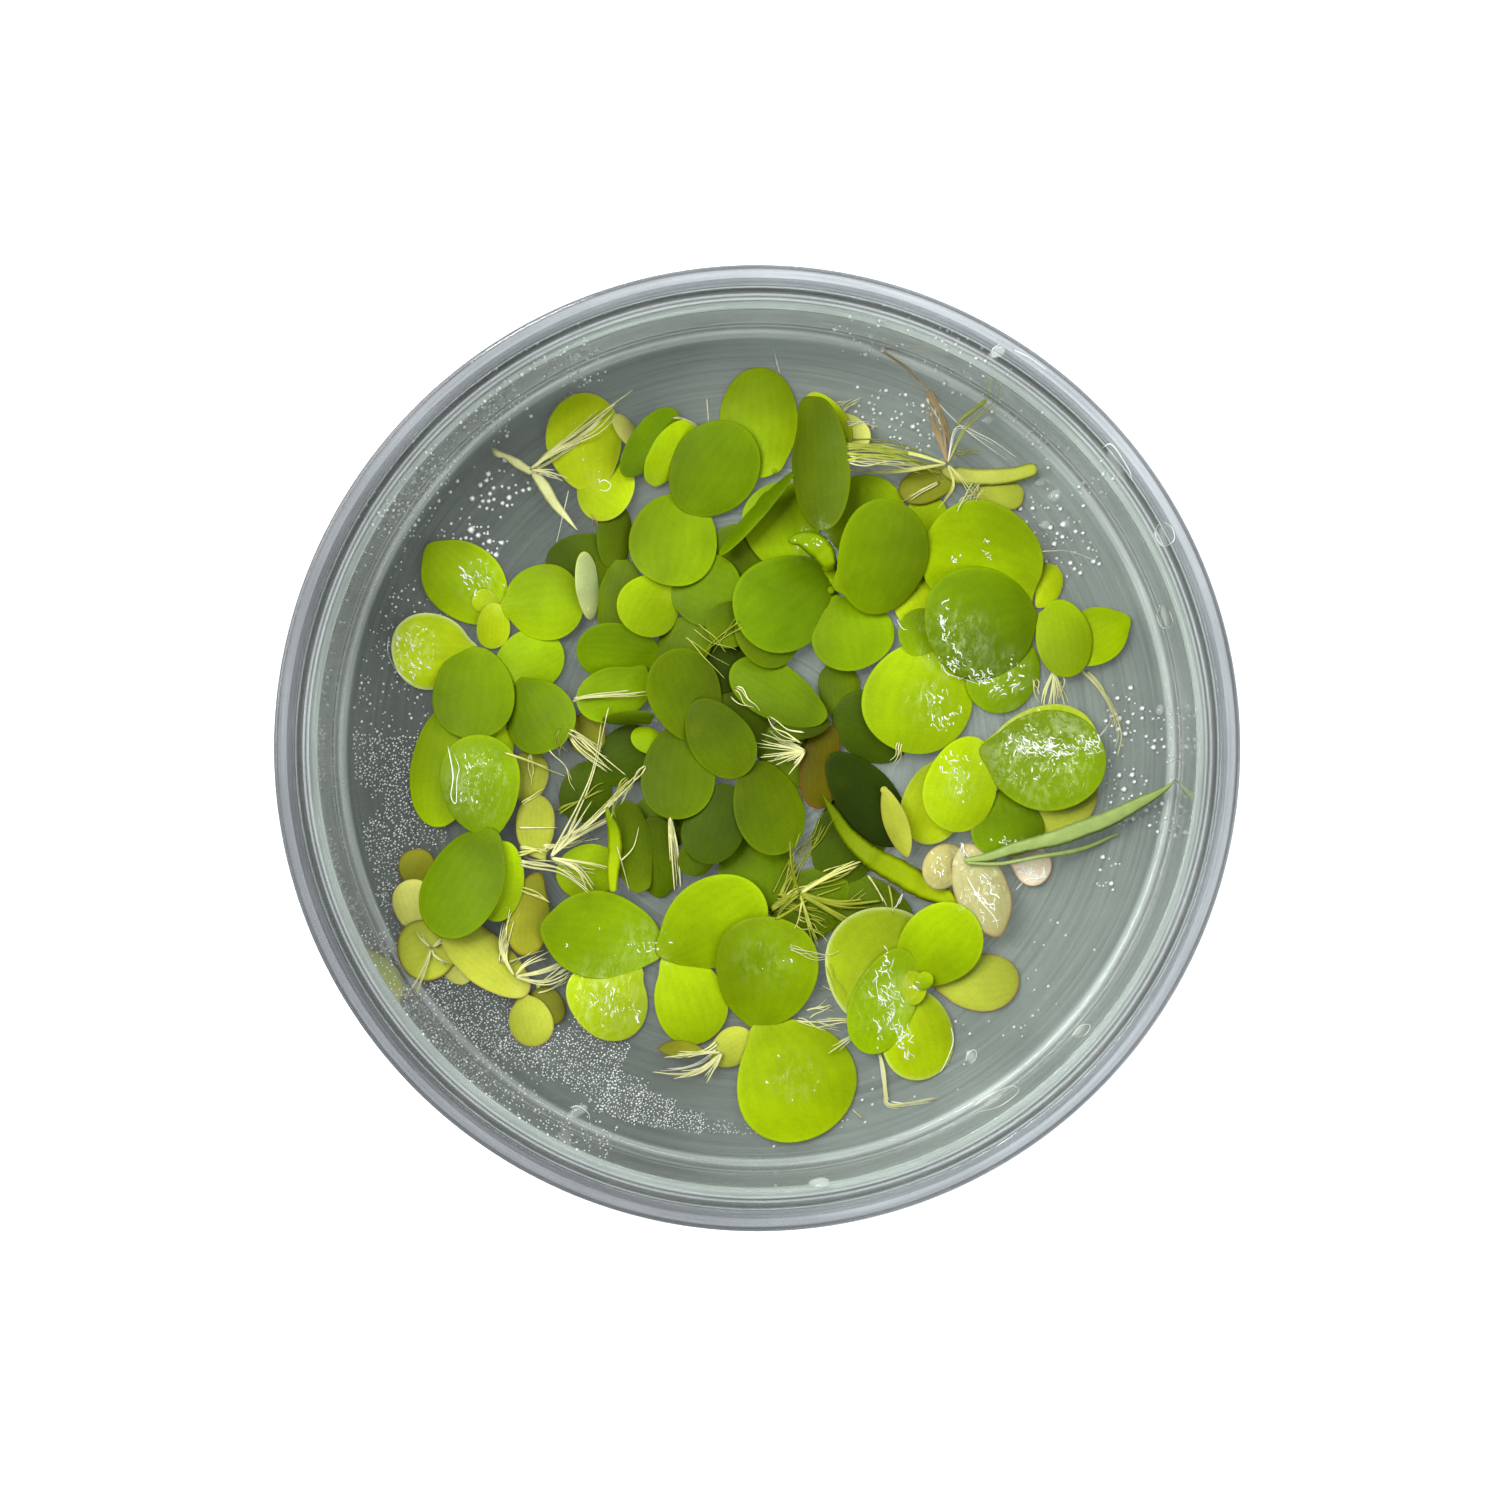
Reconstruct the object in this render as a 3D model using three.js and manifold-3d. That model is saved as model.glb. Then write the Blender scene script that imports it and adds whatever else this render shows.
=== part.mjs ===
// A shallow round tub of clear, smoke-grey plastic with a wet heap of giant duckweed in it.
// A plant is a few round fronds joined at one crown. A bunch of roots is a few strands from one crown.
// Each of them lies on what is already in the tub, so the heap is listed from the bottom up.

import * as THREE from "three";
import { mergeVertices } from "three/addons/utils/BufferGeometryUtils.js";
import Module from "manifold-3d";

const wasm = await Module();
wasm.setup();

// Sizes are in millimetres. The origin is the middle of the tub's underside, and +Z is up.
const tub = {
  height: 20,
  rimRadius: 45, // the outer edge of the lip
  lipInside: 43, // the inner edge of the lip, where the step for a lid starts
  stepRadius: 42.5,
  stepHeight: 16,
  wallTop: 41.6, // the inside radius of the wall under the step
  wallFoot: 41.3,
  wall: 0.9,
  lipDepth: 1.8,
  floor: 1.2,
  cornerRound: 1,
  footRound: 1.9,
  edgeRound: 0.5,
  roundSteps: 2,
  turns: 48,
};

const frondShape = {
  dome: 0.3, // how far the middle of the top stands above the edge
  belly: 0.2, // how far the middle of the underside hangs below the edge
  egg: 0.1, // how much wider the tip half is than the base half
  neck: 0.35, // how far a drawn-out base runs past its crown
  large: 7.5, // the length from which a frond has the larger number of sides
  largeSides: 10,
  smallSides: 8,
  beadRadius: 0.5, // the bead that ties a plant's fronds together at their crown
  beadBelow: 0.1, // how far it reaches below the lowest of them there
  beadAbove: 0.35, // and above the highest
};

const rootShape = {
  taper: 0.6, // the share of its thickness that a strand loses towards its tip
  bead: 1.6, // the bead at a bunch's crown, as a multiple of a strand's radius
  slope: 0.6, // the steepest that a strand bends, as rise over run
  step: 2.8, // between two sections of a strand
  lift: 0.07, // each strand of a bunch lies this much over the one before
  roll: 37, // and is turned this much more about its own length, in degrees
};

const lay = {
  gap: 0.25, // between a piece and what it lies on
  skin: 0.06, // between two fronds of one plant, away from their crown
  crown: 1.3, // the distance from the crown within which they may grow together
  cell: 0.2, // of the grid on which the heap's height is kept
  margin: 0.15, // around a piece's outline, where it still counts as lying below the next
  feel: 0.05, // around a frond's outline, where it still feels what is below
  flattest: -0.4, // the tilts that a frond tries, as rise over run
  steepest: 0.55,
  tiltStep: 0.05,
  leaningTilts: [-0.1, 0, 0.1], // along a frond that stands on edge
  stiffness: 1.5, // the millimetres of height that a frond would rather climb than tilt by one in one
  pull: 0.6, // how much a frond is held to its plant's crown
  fine: 0.3, // between two places where a strand's height is measured
  sliver: 0.02, // the size under which a facet left by joining is taken out
};

const colours = {
  tub: 0x8f9a98,
  bright: 0xa2c60a,
  mid: 0x86a80a,
  dark: 0x5f8800,
  yellow: 0xb8cc30,
  olive: 0x9a9a3c,
  pale: 0xd2d878,
  brown: 0x7a6424,
  roots: 0xe2e0a0,
};

// The heap, from the bottom up. A place is [x, y]. A frond is [x, y, length, width, heading, lean]: the
// middle, the sizes and the direction of its tip in degrees as seen from above, and for a frond that
// stands on edge, how far it leans over to its right, in degrees. A strand starts at the crown.
const heap = [
  {
    name: "bed_left",
    tint: "dark",
    crown: [-16, -2.3],
    fronds: [
      [-16.9, -4.3, 6.2, 5.1, 262],
      [-13.1, -0.8, 7.4, 5.6, 25],
      [-16.8, 1.3, 4.3, 3.9, 110],
    ],
  },
  {
    name: "bed_lower_left",
    tint: "dark",
    crown: [-14.1, -10.7],
    fronds: [
      [-16.6, -12.1, 6.4, 5.4, 205],
      [-10.2, -7.8, 8.6, 6, 35],
    ],
  },
  {
    name: "bed_centre",
    tint: "dark",
    crown: [0.8, 0.3],
    fronds: [
      [3.8, -0.4, 7.8, 6.8, 345],
      [-2.1, 4.7, 8.9, 6.8, 120],
    ],
  },
  {
    name: "bed_upper",
    tint: "dark",
    crown: [-1.5, 15.6],
    fronds: [
      [-1.8, 18.7, 7, 6, 95],
      [-3.4, 10.5, 10.1, 7.4, 255],
    ],
  },
  {
    name: "bed_lower",
    tint: "dark",
    crown: [7.9, -12.4],
    fronds: [
      [11.2, -16.9, 10.3, 7.6, 308],
      [5.3, -15.3, 8.6, 6.6, 225],
      [9, -9.1, 7.8, 6, 70],
    ],
  },
  {
    name: "left_edge_pair",
    tint: "dark",
    crown: [-29.4, 3.5],
    fronds: [
      [-31, -1.7, 11.9, 6.4, 262, 10],
      [-26.5, 0.6, 5.6, 4.7, 300],
    ],
  },
  {
    name: "lower_left_upturned",
    tint: "pale",
    crown: [-32, -19.4],
    fronds: [
      [-33.6, -11.8, 3.9, 3.5, 95],
      [-33.7, -15.5, 5.4, 4.3, 110],
      [-29.8, -21.6, 3.9, 2.7, 310],
      [-32.4, -19.8, 6.6, 6.2, 195],
    ],
  },
  {
    name: "lower_left_upturned_roots",
    radius: 0.26,
    crown: [-32, -19.6],
    strands: [
      [[-32.8, -22.1], [-34, -25.1]],
      [[-33, -18.7], [-33.5, -17.9]],
      [[-31, -18.7], [-30.6, -17.7]],
      [[-31.6, -20.4], [-30.1, -21.2]],
    ],
  },
  {
    name: "lower_left_chain",
    tint: "pale",
    crown: [-23.4, -23.5],
    fronds: [
      [-20.6, -25.3, 4.1, 3.1, 300],
      [-26.6, -20.8, 10.3, 4.9, 140, 18],
      [-22.3, -26.9, 5.2, 4.3, 280],
    ],
  },
  {
    name: "lower_left_chain_roots",
    radius: 0.24,
    crown: [-23.8, -22.4],
    strands: [
      [[-24.7, -20.4], [-24.2, -17.2], [-23.2, -14.6]],
      [[-25.1, -19.6], [-24.6, -16.7], [-24, -14.6]],
      [[-22.6, -21.1], [-20.1, -19.8]],
      [[-21.1, -21.8], [-17.7, -20.4]],
      [[-20.6, -22.9], [-17.4, -21.4]],
    ],
  },
  {
    name: "root_fan",
    tint: "pale",
    crown: [-21.1, -10.7],
    fronds: [
      [-22.4, -16.5, 7.8, 4.3, 268, -12],
      [-22.6, -2.8, 5.1, 4.1, 85],
      [-21.8, -7.6, 6, 3.9, 88],
    ],
  },
  {
    name: "root_fan_roots",
    radius: 0.26,
    crown: [-20.3, -10.7],
    strands: [
      [[-17.7, -8.6], [-13.1, -6.2]],
      [[-15.7, -6.5], [-11.4, -2.1]],
      [[-17.4, -5.1], [-16, -1.4], [-15.1, 4.1]],
      [[-17.7, -11.7], [-16, -14.1]],
      [[-16.2, -11.3], [-13.9, -11.9]],
      [[-18.6, -8.7], [-16.2, -5.1]],
    ],
  },
  {
    name: "upper_left_shaded",
    tint: "dark",
    crown: [-14.1, 18.3],
    fronds: [
      [-16.7, 18.3, 8.4, 5.8, 185],
      [-14.1, 20.9, 6.4, 3.5, 85, 15],
      [-13.5, 14.6, 8.2, 4.5, 262, 12],
    ],
  },
  {
    name: "left_shaded",
    tint: "mid",
    crown: [-9.9, 9],
    fronds: [
      [-13.7, 9.5, 8.2, 5.6, 175],
      [-14, 5.4, 7.8, 5.2, 200],
      [-7.3, 10, 6, 5.2, 60],
    ],
  },
  {
    name: "left_inner_roots",
    radius: 0.24,
    crown: [-19.3, 3.5],
    strands: [
      [[-17.4, 4.9], [-13.3, 5.3], [-8.9, 5.8]],
      [[-17.2, 1], [-12.8, -2.7]],
      [[-17.7, 0.4], [-14.1, -2.3]],
    ],
  },
  {
    name: "lower_shaded",
    tint: "dark",
    crown: [-11, -13.6],
    fronds: [
      [-9.9, -10.7, 8.2, 4.5, 95],
      [-12.3, -9.7, 9.3, 3.9, 100, 14],
    ],
  },
  {
    name: "lower_shaded_roots",
    radius: 0.24,
    crown: [-8.7, -5.8],
    strands: [
      [[-8.4, -9.9], [-8.1, -14.1]],
      [[-7.8, -9.9], [-7.5, -13.8]],
    ],
  },
  {
    name: "centre_lower",
    tint: "dark",
    crown: [-1.8, -4.3],
    fronds: [
      [0, -12.1, 8.6, 7.8, 270],
      [-5.8, -10.5, 4.3, 3.5, 240],
      [-4.1, -7.4, 8.2, 6, 250, 8],
      [1.1, -5.8, 9.5, 6.8, 285],
    ],
  },
  {
    name: "centre_roots",
    radius: 0.22,
    crown: [4.2, -14.3],
    strands: [
      [[7.6, -12.2], [10.8, -10.9]],
      [[8.3, -15.3], [12.3, -15]],
      [[8.3, -16.5], [12.1, -18.5]],
      [[5.3, -17.7], [6.3, -20.1]],
      [[3.4, -11.7], [3.2, -8.9]],
      [[2.2, -16.2], [1.5, -18.2]],
    ],
  },
  {
    name: "top_shaded",
    tint: "dark",
    crown: [4.2, 18.3],
    fronds: [
      [2.5, 21.9, 8.9, 7.6, 110],
    ],
  },
  {
    name: "upper_right_shaded",
    tint: "dark",
    crown: [12.4, 20.2],
    fronds: [
      [10.7, 22.6, 9.1, 8.2, 110],
      [16.3, 22.5, 5.4, 4.1, 40],
    ],
  },
  {
    name: "top_right_roots",
    radius: 0.22,
    crown: [7.9, 32.1],
    strands: [
      [[8.8, 33.8], [10.4, 34.7]],
      [[10, 32.1], [12.1, 31.7]],
      [[10.2, 30.7], [12.3, 30.2]],
    ],
  },
  {
    name: "right_shaded",
    tint: "brown",
    crown: [7.9, 2.5],
    fronds: [
      [6.3, -1.9, 8, 4.3, 264],
      [8.1, 5.8, 5.6, 4.1, 92],
      [11.4, 2.3, 8.2, 7.2, 340],
    ],
  },
  {
    name: "centre_right_roots",
    radius: 0.22,
    crown: [4.8, -0.2],
    strands: [
      [[2.7, 0.1], [-0.5, 0.6]],
      [[2.7, -0.6], [0.1, -0.9]],
      [[3.2, -1], [1.7, -1.7]],
      [[4, -1.4], [3, -2.7]],
      [[2.4, 0.8], [0.3, 1.5]],
    ],
  },
  {
    name: "right_rosette_roots",
    radius: 0.24,
    crown: [29.3, 7.8],
    strands: [
      [[28.5, 5.6], [28.2, 3.5]],
      [[29.3, 5.4], [29.3, 3.2]],
      [[30, 5.6], [30.4, 3.9]],
      [[31.9, 7.6], [34.3, 5.2], [35.9, 1.7], [35.5, -0.9]],
    ],
  },
  {
    name: "arc_shaded",
    tint: "dark",
    crown: [8.3, -3.3],
    fronds: [
      [10.8, -4.9, 10.3, 5.2, 310],
    ],
  },
  {
    name: "green_arc",
    tint: "mid",
    crown: [11.4, -10.5],
    fronds: [
      [8.7, -7.4, 8.9, 2.5, 129, -38],
      [15.1, -13.1, 10.3, 3.1, 327, 38],
    ],
  },
  {
    name: "right_upturned",
    tint: "pale",
    crown: [19.9, -10.5],
    fronds: [
      [27.1, -11.5, 4.1, 3.9, 340],
      [18.3, -11.5, 4.9, 3.9, 230],
      [21.9, -13.6, 8.9, 5.4, 290, 8],
    ],
  },
  {
    name: "upper_right_upturned",
    tint: "olive",
    crown: [18.3, 27.2],
    fronds: [
      [16.8, 26, 6, 3.5, 200, 10],
      [24, 25.1, 4.7, 2.9, 350],
      [22.6, 27.4, 10.1, 1.9, 3, 60],
    ],
  },
  {
    name: "upper_right_roots",
    radius: 0.26,
    crown: [18.6, 27.8],
    strands: [
      [[14.4, 29], [8.7, 30.1]],
      [[13.9, 27.2], [8.7, 27.4]],
      [[17.4, 31.9], [16.8, 35.2]],
      [[17.6, 33.8], [14.4, 37.5], [10.8, 39.7]],
      [[20.5, 31.4], [23.9, 34.6]],
      [[19.5, 31.4], [22.2, 30.5], [25.4, 28.3]],
      [[19.2, 25.6], [17.6, 23.3]],
      [[20.3, 25.9], [21.7, 24.1]],
    ],
  },
  {
    name: "left_inner_pair",
    tint: "dark",
    crown: [-23.8, 7.4],
    fronds: [
      [-22.5, 8.6, 7, 6.2, 20],
      [-21.4, 3.2, 7.4, 7, 300],
    ],
  },
  {
    name: "left_rosette",
    tint: "mid",
    crown: [-25.3, 13.8],
    fronds: [
      [-28.7, 16.3, 9.5, 7.4, 135],
      [-21, 14.4, 7.8, 7.6, 5],
      [-26.8, 14.5, 2.7, 2.3, 160],
      [-26, 12.1, 4.5, 3.3, 268],
    ],
  },
  {
    name: "left_pair",
    tint: "dark",
    crown: [-27.5, 9.7],
    fronds: [
      [-32.1, 9.6, 8, 7.6, 180],
      [-27.9, 5.5, 9.1, 8.2, 265],
    ],
  },
  {
    name: "lower_left_rosette",
    tint: "mid",
    crown: [-25.8, -8.2],
    fronds: [
      [-25.1, -13, 8, 4.5, 262, -14],
      [-27.1, -3.5, 9.7, 8, 98],
      [-28.6, -13.2, 11.1, 7.8, 240],
    ],
  },
  {
    name: "upper_left_pair",
    tint: "yellow",
    crown: [-16, 26.4],
    fronds: [
      [-15, 25.5, 5.6, 6.2, 320],
      [-17, 30.2, 9.9, 7.4, 98],
    ],
  },
  {
    name: "upper_slivers",
    tint: "yellow",
    crown: [-10.2, 26.2],
    fronds: [
      [-12.6, 31, 4.9, 1.9, 128, 30],
      [-10.6, 30.1, 8.2, 3.7, 52, 22],
      [-8.5, 29.1, 7.4, 3.9, 55, 20],
    ],
  },
  {
    name: "upper_low_pair",
    tint: "yellow",
    crown: [-8.7, 15.2],
    fronds: [
      [-10.6, 14.1, 6.4, 6, 240],
      [-5.2, 15.7, 7.4, 7.2, 350],
    ],
  },
  {
    name: "top_left_frond",
    tint: "mid",
    crown: [1.7, 27.4],
    fronds: [
      [0, 23, 10.9, 1.6, 228, 60],
      [0.2, 32.1, 11.1, 7.6, 93],
    ],
  },
  {
    name: "top_pair",
    tint: "dark",
    crown: [4.8, 34],
    fronds: [
      [9, 31.2, 4.7, 3.3, 325],
      [6.9, 32.2, 6.8, 3.7, 302],
      [6.2, 27.6, 13.2, 5.5, 272, 24],
    ],
  },
  {
    name: "upper_centre_pair",
    tint: "dark",
    crown: [-6.5, 23.8],
    fronds: [
      [-8.2, 20.6, 9.5, 8.6, 262],
      [-4.3, 27.4, 10.3, 8.4, 55],
    ],
  },
  {
    name: "centre_rosette",
    tint: "mid",
    crown: [-6.1, 1.7],
    fronds: [
      [-12.6, 3, 5.1, 1.4, 5, 45],
      [-10.6, 0.7, 3.9, 2.5, 150, 20],
      [-7.7, -2.3, 9.3, 7.4, 265],
      [-7, 5.2, 9.3, 7.2, 110],
      [-3.7, 1, 8.9, 6, 305],
    ],
  },
  {
    name: "centre_right_pair",
    tint: "bright",
    crown: [6.5, 3.1],
    fronds: [
      [4.4, 2.1, 5.6, 2.5, 190, 20],
      [1.9, 5.5, 10.1, 5.6, 148, 8],
    ],
  },
  {
    name: "right_inner",
    tint: "dark",
    crown: [17.3, 10],
    fronds: [
      [16, 14.3, 7.4, 5.1, 110],
      [15.9, 5, 11.1, 10.9, 258],
      [16.3, 11.3, 5.1, 4.7, 90],
    ],
  },
  {
    name: "right_rosette",
    tint: "bright",
    crown: [27.3, 13.2],
    fronds: [
      [33, 10.9, 7.6, 5.4, 28],
      [28.7, 16.1, 4.3, 2.9, 78],
      [22.2, 18.7, 11.9, 10.9, 165],
      [24.4, 7.3, 8, 6.8, 235],
      [30.2, 10.9, 7.8, 5.4, 280],
      [22, 12.4, 11.1, 11.1, 195],
    ],
  },
  {
    name: "centre_top_rosette",
    tint: "pale",
    crown: [7.3, 15.6],
    fronds: [
      [-2.5, 12.2, 5.1, 4.5, 200],
      [1.1, 11.2, 6.2, 6.6, 230],
      [2.9, 14.4, 10.9, 9.3, 215],
      [9.4, 11.3, 7.2, 8.2, 280],
      [5.6, 20.1, 3.3, 2.9, 120],
      [7.4, 18.6, 3.3, 2.1, 100],
      [12.2, 18.6, 11.1, 8.9, 72],
    ],
  },
  {
    name: "right_low_rosette",
    tint: "bright",
    crown: [22.2, -0.2],
    fronds: [
      [17.7, -5.1, 9.1, 6.4, 240],
      [28.7, -4.1, 10.1, 8.6, 345],
      [24.6, -7.6, 6.2, 7.2, 275],
      [28.2, -0.4, 11.5, 9.1, 10],
      [20.1, -3.5, 9.9, 7, 250],
      [28.4, -1.2, 11.9, 9.7, 5],
    ],
  },
  {
    name: "right_runner",
    radius: 0.5,
    crown: [20.2, -11.1],
    strands: [
      [[24.1, -11], [28, -10.4], [31.9, -9.6], [35.3, -8.3], [38.2, -6], [40.3, -3.7]],
      [[24.8, -11.7], [30.4, -10.5], [35.5, -9]],
    ],
  },
  {
    name: "bottom_rosette",
    tint: "bright",
    crown: [-9.6, -20.1],
    fronds: [
      [-14.6, -24.7, 7.4, 8.6, 230],
      [-6.6, -24.9, 8.7, 7.2, 290],
      [-15.1, -18.4, 11.5, 8.4, 172],
      [-4.3, -17.2, 11.1, 8.9, 35],
    ],
  },
  {
    name: "bottom_scraps",
    tint: "olive",
    crown: [-4.4, -29.5],
    fronds: [
      [-7.5, -29.6, 4.5, 1.6, 178, 35],
      [-2.5, -29.5, 4.9, 3.7, 30],
    ],
  },
  {
    name: "bottom_scraps_roots",
    radius: 0.26,
    crown: [-3.4, -29.9],
    strands: [
      [[-5.2, -31.5], [-7.5, -32.1], [-10.4, -31.9]],
      [[-5.5, -31.6], [-8.3, -32.6]],
      [[-4.2, -31.5], [-5, -33]],
      [[-5.5, -29.9], [-9.2, -30.3]],
    ],
  },
  {
    name: "bottom_pair",
    tint: "dark",
    crown: [-0.1, -27.4],
    fronds: [
      [3.7, -32.7, 11.9, 12.2, 300],
      [0.9, -21.9, 10.9, 10.3, 80],
    ],
  },
  {
    name: "lower_right_roots",
    radius: 0.24,
    crown: [10.8, -27.4],
    strands: [
      [[12.3, -30.9], [12.7, -34], [13.3, -35.2], [17.9, -34.5]],
      [[9, -24.9], [6.3, -23.3]],
      [[8.6, -26.8], [5.3, -27]],
      [[8.8, -28.8], [6.9, -30.1]],
    ],
  },
  {
    name: "lower_right_rosette",
    tint: "yellow",
    crown: [14.2, -23.3],
    fronds: [
      [22, -23.1, 8, 5.6, 2],
      [11.8, -21.1, 12.1, 9.1, 55, 12],
      [15.7, -28.1, 9.5, 7.2, 285],
      [17.8, -19.4, 9.5, 7.6, 45],
      [12.5, -24.8, 10.9, 6.4, 250],
      [15.2, -23.5, 3.5, 2.9, 100],
      [16.4, -22.8, 1.9, 1.6, 50],
    ],
  },
  {
    name: "cream_sliver",
    tint: "pale",
    crown: [12.5, -4.1],
    fronds: [
      [13.6, -7.2, 7.4, 2.3, 288, 45],
    ],
  },
  {
    name: "standing_y",
    tint: "pale",
    crown: [-22.3, 27.3],
    fronds: [
      [-24.2, 28.4, 5.4, 1.4, 152, 62],
      [-20, 24.4, 7.4, 1.4, 312, 62],
    ],
  },
  {
    name: "standing_y_roots",
    radius: 0.24,
    crown: [-22.3, 27.3],
    strands: [
      [[-19, 30.1], [-15.3, 33], [-12.1, 35.4]],
      [[-19.5, 29.4], [-16, 31.1], [-14.1, 33]],
      [[-19.1, 29.5], [-16.3, 31.3]],
      [[-20.5, 27.1], [-18.4, 26.5]],
    ],
  },
  {
    name: "standing_strip",
    tint: "bright",
    crown: [-14.3, -14.6],
    fronds: [
      [-14, -9.9, 10.1, 1.7, 88, 50],
    ],
  },
  {
    name: "pale_sliver",
    tint: "pale",
    crown: [-16.8, 13.8],
    fronds: [
      [-16.7, 16, 5.1, 1.6, 95, 45],
    ],
  },
];

const toRadians = THREE.MathUtils.degToRad;
const cross = (a, b) => a.x * b.y - a.y * b.x;

// A closed profile from corners of [radius, height, round], with each round as a short arc.
function profile(corners) {
  const points = [];
  corners.forEach(([radius, height, round], i) => {
    const corner = new THREE.Vector2(radius, height);
    if (!round) {
      points.push(corner);
      return;
    }
    const toward = (j) => new THREE.Vector2(corners[j][0], corners[j][1]).sub(corner).setLength(round);
    const arc = new THREE.QuadraticBezierCurve(
      corner.clone().add(toward(i - 1)),
      corner,
      corner.clone().add(toward(i + 1)),
    );
    points.push(...arc.getPoints(tub.roundSteps));
  });
  return points;
}

// The tub: a flat floor, a wall that leans out a little, a step for a lid and a rounded lip.
function tubGeometry() {
  const wallOutside = tub.wallTop + tub.wall;
  const stepOutside = tub.lipInside + tub.wall;
  const stepUnder = tub.stepHeight - tub.wall;
  const lipUnder = tub.height - tub.lipDepth;
  const lathe = new THREE.LatheGeometry(
    profile([
      [0, 0],
      [tub.wallFoot + tub.wall, 0, tub.footRound],
      [wallOutside, stepUnder],
      [stepOutside, stepUnder],
      [stepOutside, lipUnder],
      [tub.rimRadius, lipUnder],
      [tub.rimRadius, tub.height, tub.edgeRound],
      [tub.lipInside, tub.height, tub.edgeRound],
      [tub.lipInside, tub.stepHeight, tub.edgeRound / 2],
      [tub.wallTop, tub.stepHeight, tub.edgeRound / 2],
      [tub.wallFoot, tub.floor, tub.cornerRound],
      [0, tub.floor],
    ]),
    tub.turns,
  );
  return lathe.rotateX(Math.PI / 2);
}

function solidOf(positions, triangles) {
  return new wasm.Manifold(
    new wasm.Mesh({
      numProp: 3,
      vertProperties: new Float32Array(positions.flat()),
      triVerts: new Uint32Array(triangles.flat()),
    }),
  );
}

function geometryOf(solid) {
  const { vertProperties, triVerts } = solid.getMesh();
  const geometry = new THREE.BufferGeometry();
  geometry.setAttribute("position", new THREE.BufferAttribute(vertProperties, 3));
  geometry.setIndex(new THREE.BufferAttribute(triVerts, 1));
  return mergeVertices(geometry, 1e-4);
}

// One solid from several, without the slivers that joining leaves.
function joined(solids) {
  return solids
    .reduce((all, next) => all.add(next))
    .asOriginal()
    .simplify(lay.sliver);
}

// The heap's top as it grows: one height for each cell of a square grid over the tub.
const cellsAcross = 2 * Math.ceil(tub.stepRadius / lay.cell);
const heights = new Float64Array(cellsAcross * cellsAcross);

// Calls visit(index, x, y) for each cell whose middle is in the box.
function eachCell(low, high, visit) {
  const first = (v) => Math.max(0, Math.floor(v / lay.cell + cellsAcross / 2));
  const last = (v) => Math.min(cellsAcross - 1, Math.ceil(v / lay.cell + cellsAcross / 2));
  const middle = (i) => (i + 0.5 - cellsAcross / 2) * lay.cell;
  for (let j = first(low.y); j <= last(high.y); j++)
    for (let i = first(low.x); i <= last(high.x); i++)
      visit(j * cellsAcross + i, middle(i), middle(j));
}

// The empty tub: level, with a round up to the foot of the wall.
const roundStart = tub.wallFoot - tub.cornerRound;
const tubCorner = new THREE.Vector2(tub.stepRadius, tub.stepRadius);
eachCell(tubCorner.clone().negate(), tubCorner, (index, x, y) => {
  const intoRound = THREE.MathUtils.clamp(Math.hypot(x, y) - roundStart, 0, tub.cornerRound);
  heights[index] = tub.floor + tub.cornerRound - Math.sqrt(tub.cornerRound ** 2 - intoRound ** 2);
});

// A frond in plan: its outline round its middle, drawn out to the crown where the egg doesn't reach it.
function frondPlan([x, y, length, width, heading, lean = 0], [crownX, crownY]) {
  const sides = length > frondShape.large ? frondShape.largeSides : frondShape.smallSides;
  const ahead = new THREE.Vector2(Math.cos(toRadians(heading)), Math.sin(toRadians(heading)));
  const left = new THREE.Vector2(-ahead.y, ahead.x);
  const middle = new THREE.Vector2(x, y);
  const toCrown = new THREE.Vector2(crownX, crownY).sub(middle);
  const outline = Array.from({ length: sides }, (_, i) => {
    const turn = (2 * Math.PI * i) / sides;
    const along = (length / 2) * Math.cos(turn);
    const across = (width / 2) * Math.sin(turn) * (1 + frondShape.egg * Math.cos(turn));
    return ahead.clone().multiplyScalar(along).addScaledVector(left, across);
  });
  const plan = { middle, outline, ahead, left, lean, crown: new THREE.Vector2(crownX, crownY) };
  const neck = toCrown.clone().setLength(toCrown.length() + frondShape.neck);
  if (spread(plan, neck) > 1) {
    const nearest = outline.reduce((best, p) => (p.angleTo(neck) < best.angleTo(neck) ? p : best));
    nearest.copy(neck);
  }
  return plan;
}

// How far a place from the frond's middle is on the way to its outline: 0 in the middle, 1 at the edge.
function spread({ outline }, place) {
  for (let i = 0; i < outline.length; i++) {
    const from = outline[i];
    const to = outline[(i + 1) % outline.length];
    const toward = cross(place, to) / cross(from, to);
    const along = cross(from, place) / cross(from, to);
    if (toward >= 0 && along >= 0) return toward + along;
  }
  return 0;
}

// The cells under a frond: each one's place from the crown, and how far it is in from the outline.
function cellsUnder(plan, grow) {
  const reach = Math.max(...plan.outline.map((p) => p.length())) + grow;
  const cells = [];
  const offset = new THREE.Vector2(reach, reach);
  const low = plan.middle.clone().sub(offset);
  const high = plan.middle.clone().add(offset);
  eachCell(low, high, (index, x, y) => {
    const place = new THREE.Vector2(x, y).sub(plan.middle);
    const share = spread(plan, place);
    if (share > 1 && place.length() * (1 - 1 / share) > grow) return;
    const fromCrown = new THREE.Vector2(x, y).sub(plan.crown);
    cells.push({
      index,
      along: fromCrown.dot(plan.ahead),
      across: fromCrown.dot(plan.left),
      inward: Math.max(0, 1 - share),
      grown: fromCrown.length() < lay.crown,
    });
  });
  return cells;
}

// A tilted frond is as thick as a level one, so its faces stand further apart along the vertical.
const stretch = ({ rise, side }) => Math.sqrt(1 + rise * rise + side * side);

const edgeHeight = ({ attach, rise, side }, { along, across }) => attach + rise * along + side * across;

const topHeight = (lie, cell) => edgeHeight(lie, cell) + frondShape.dome * stretch(lie) * cell.inward;

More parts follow.
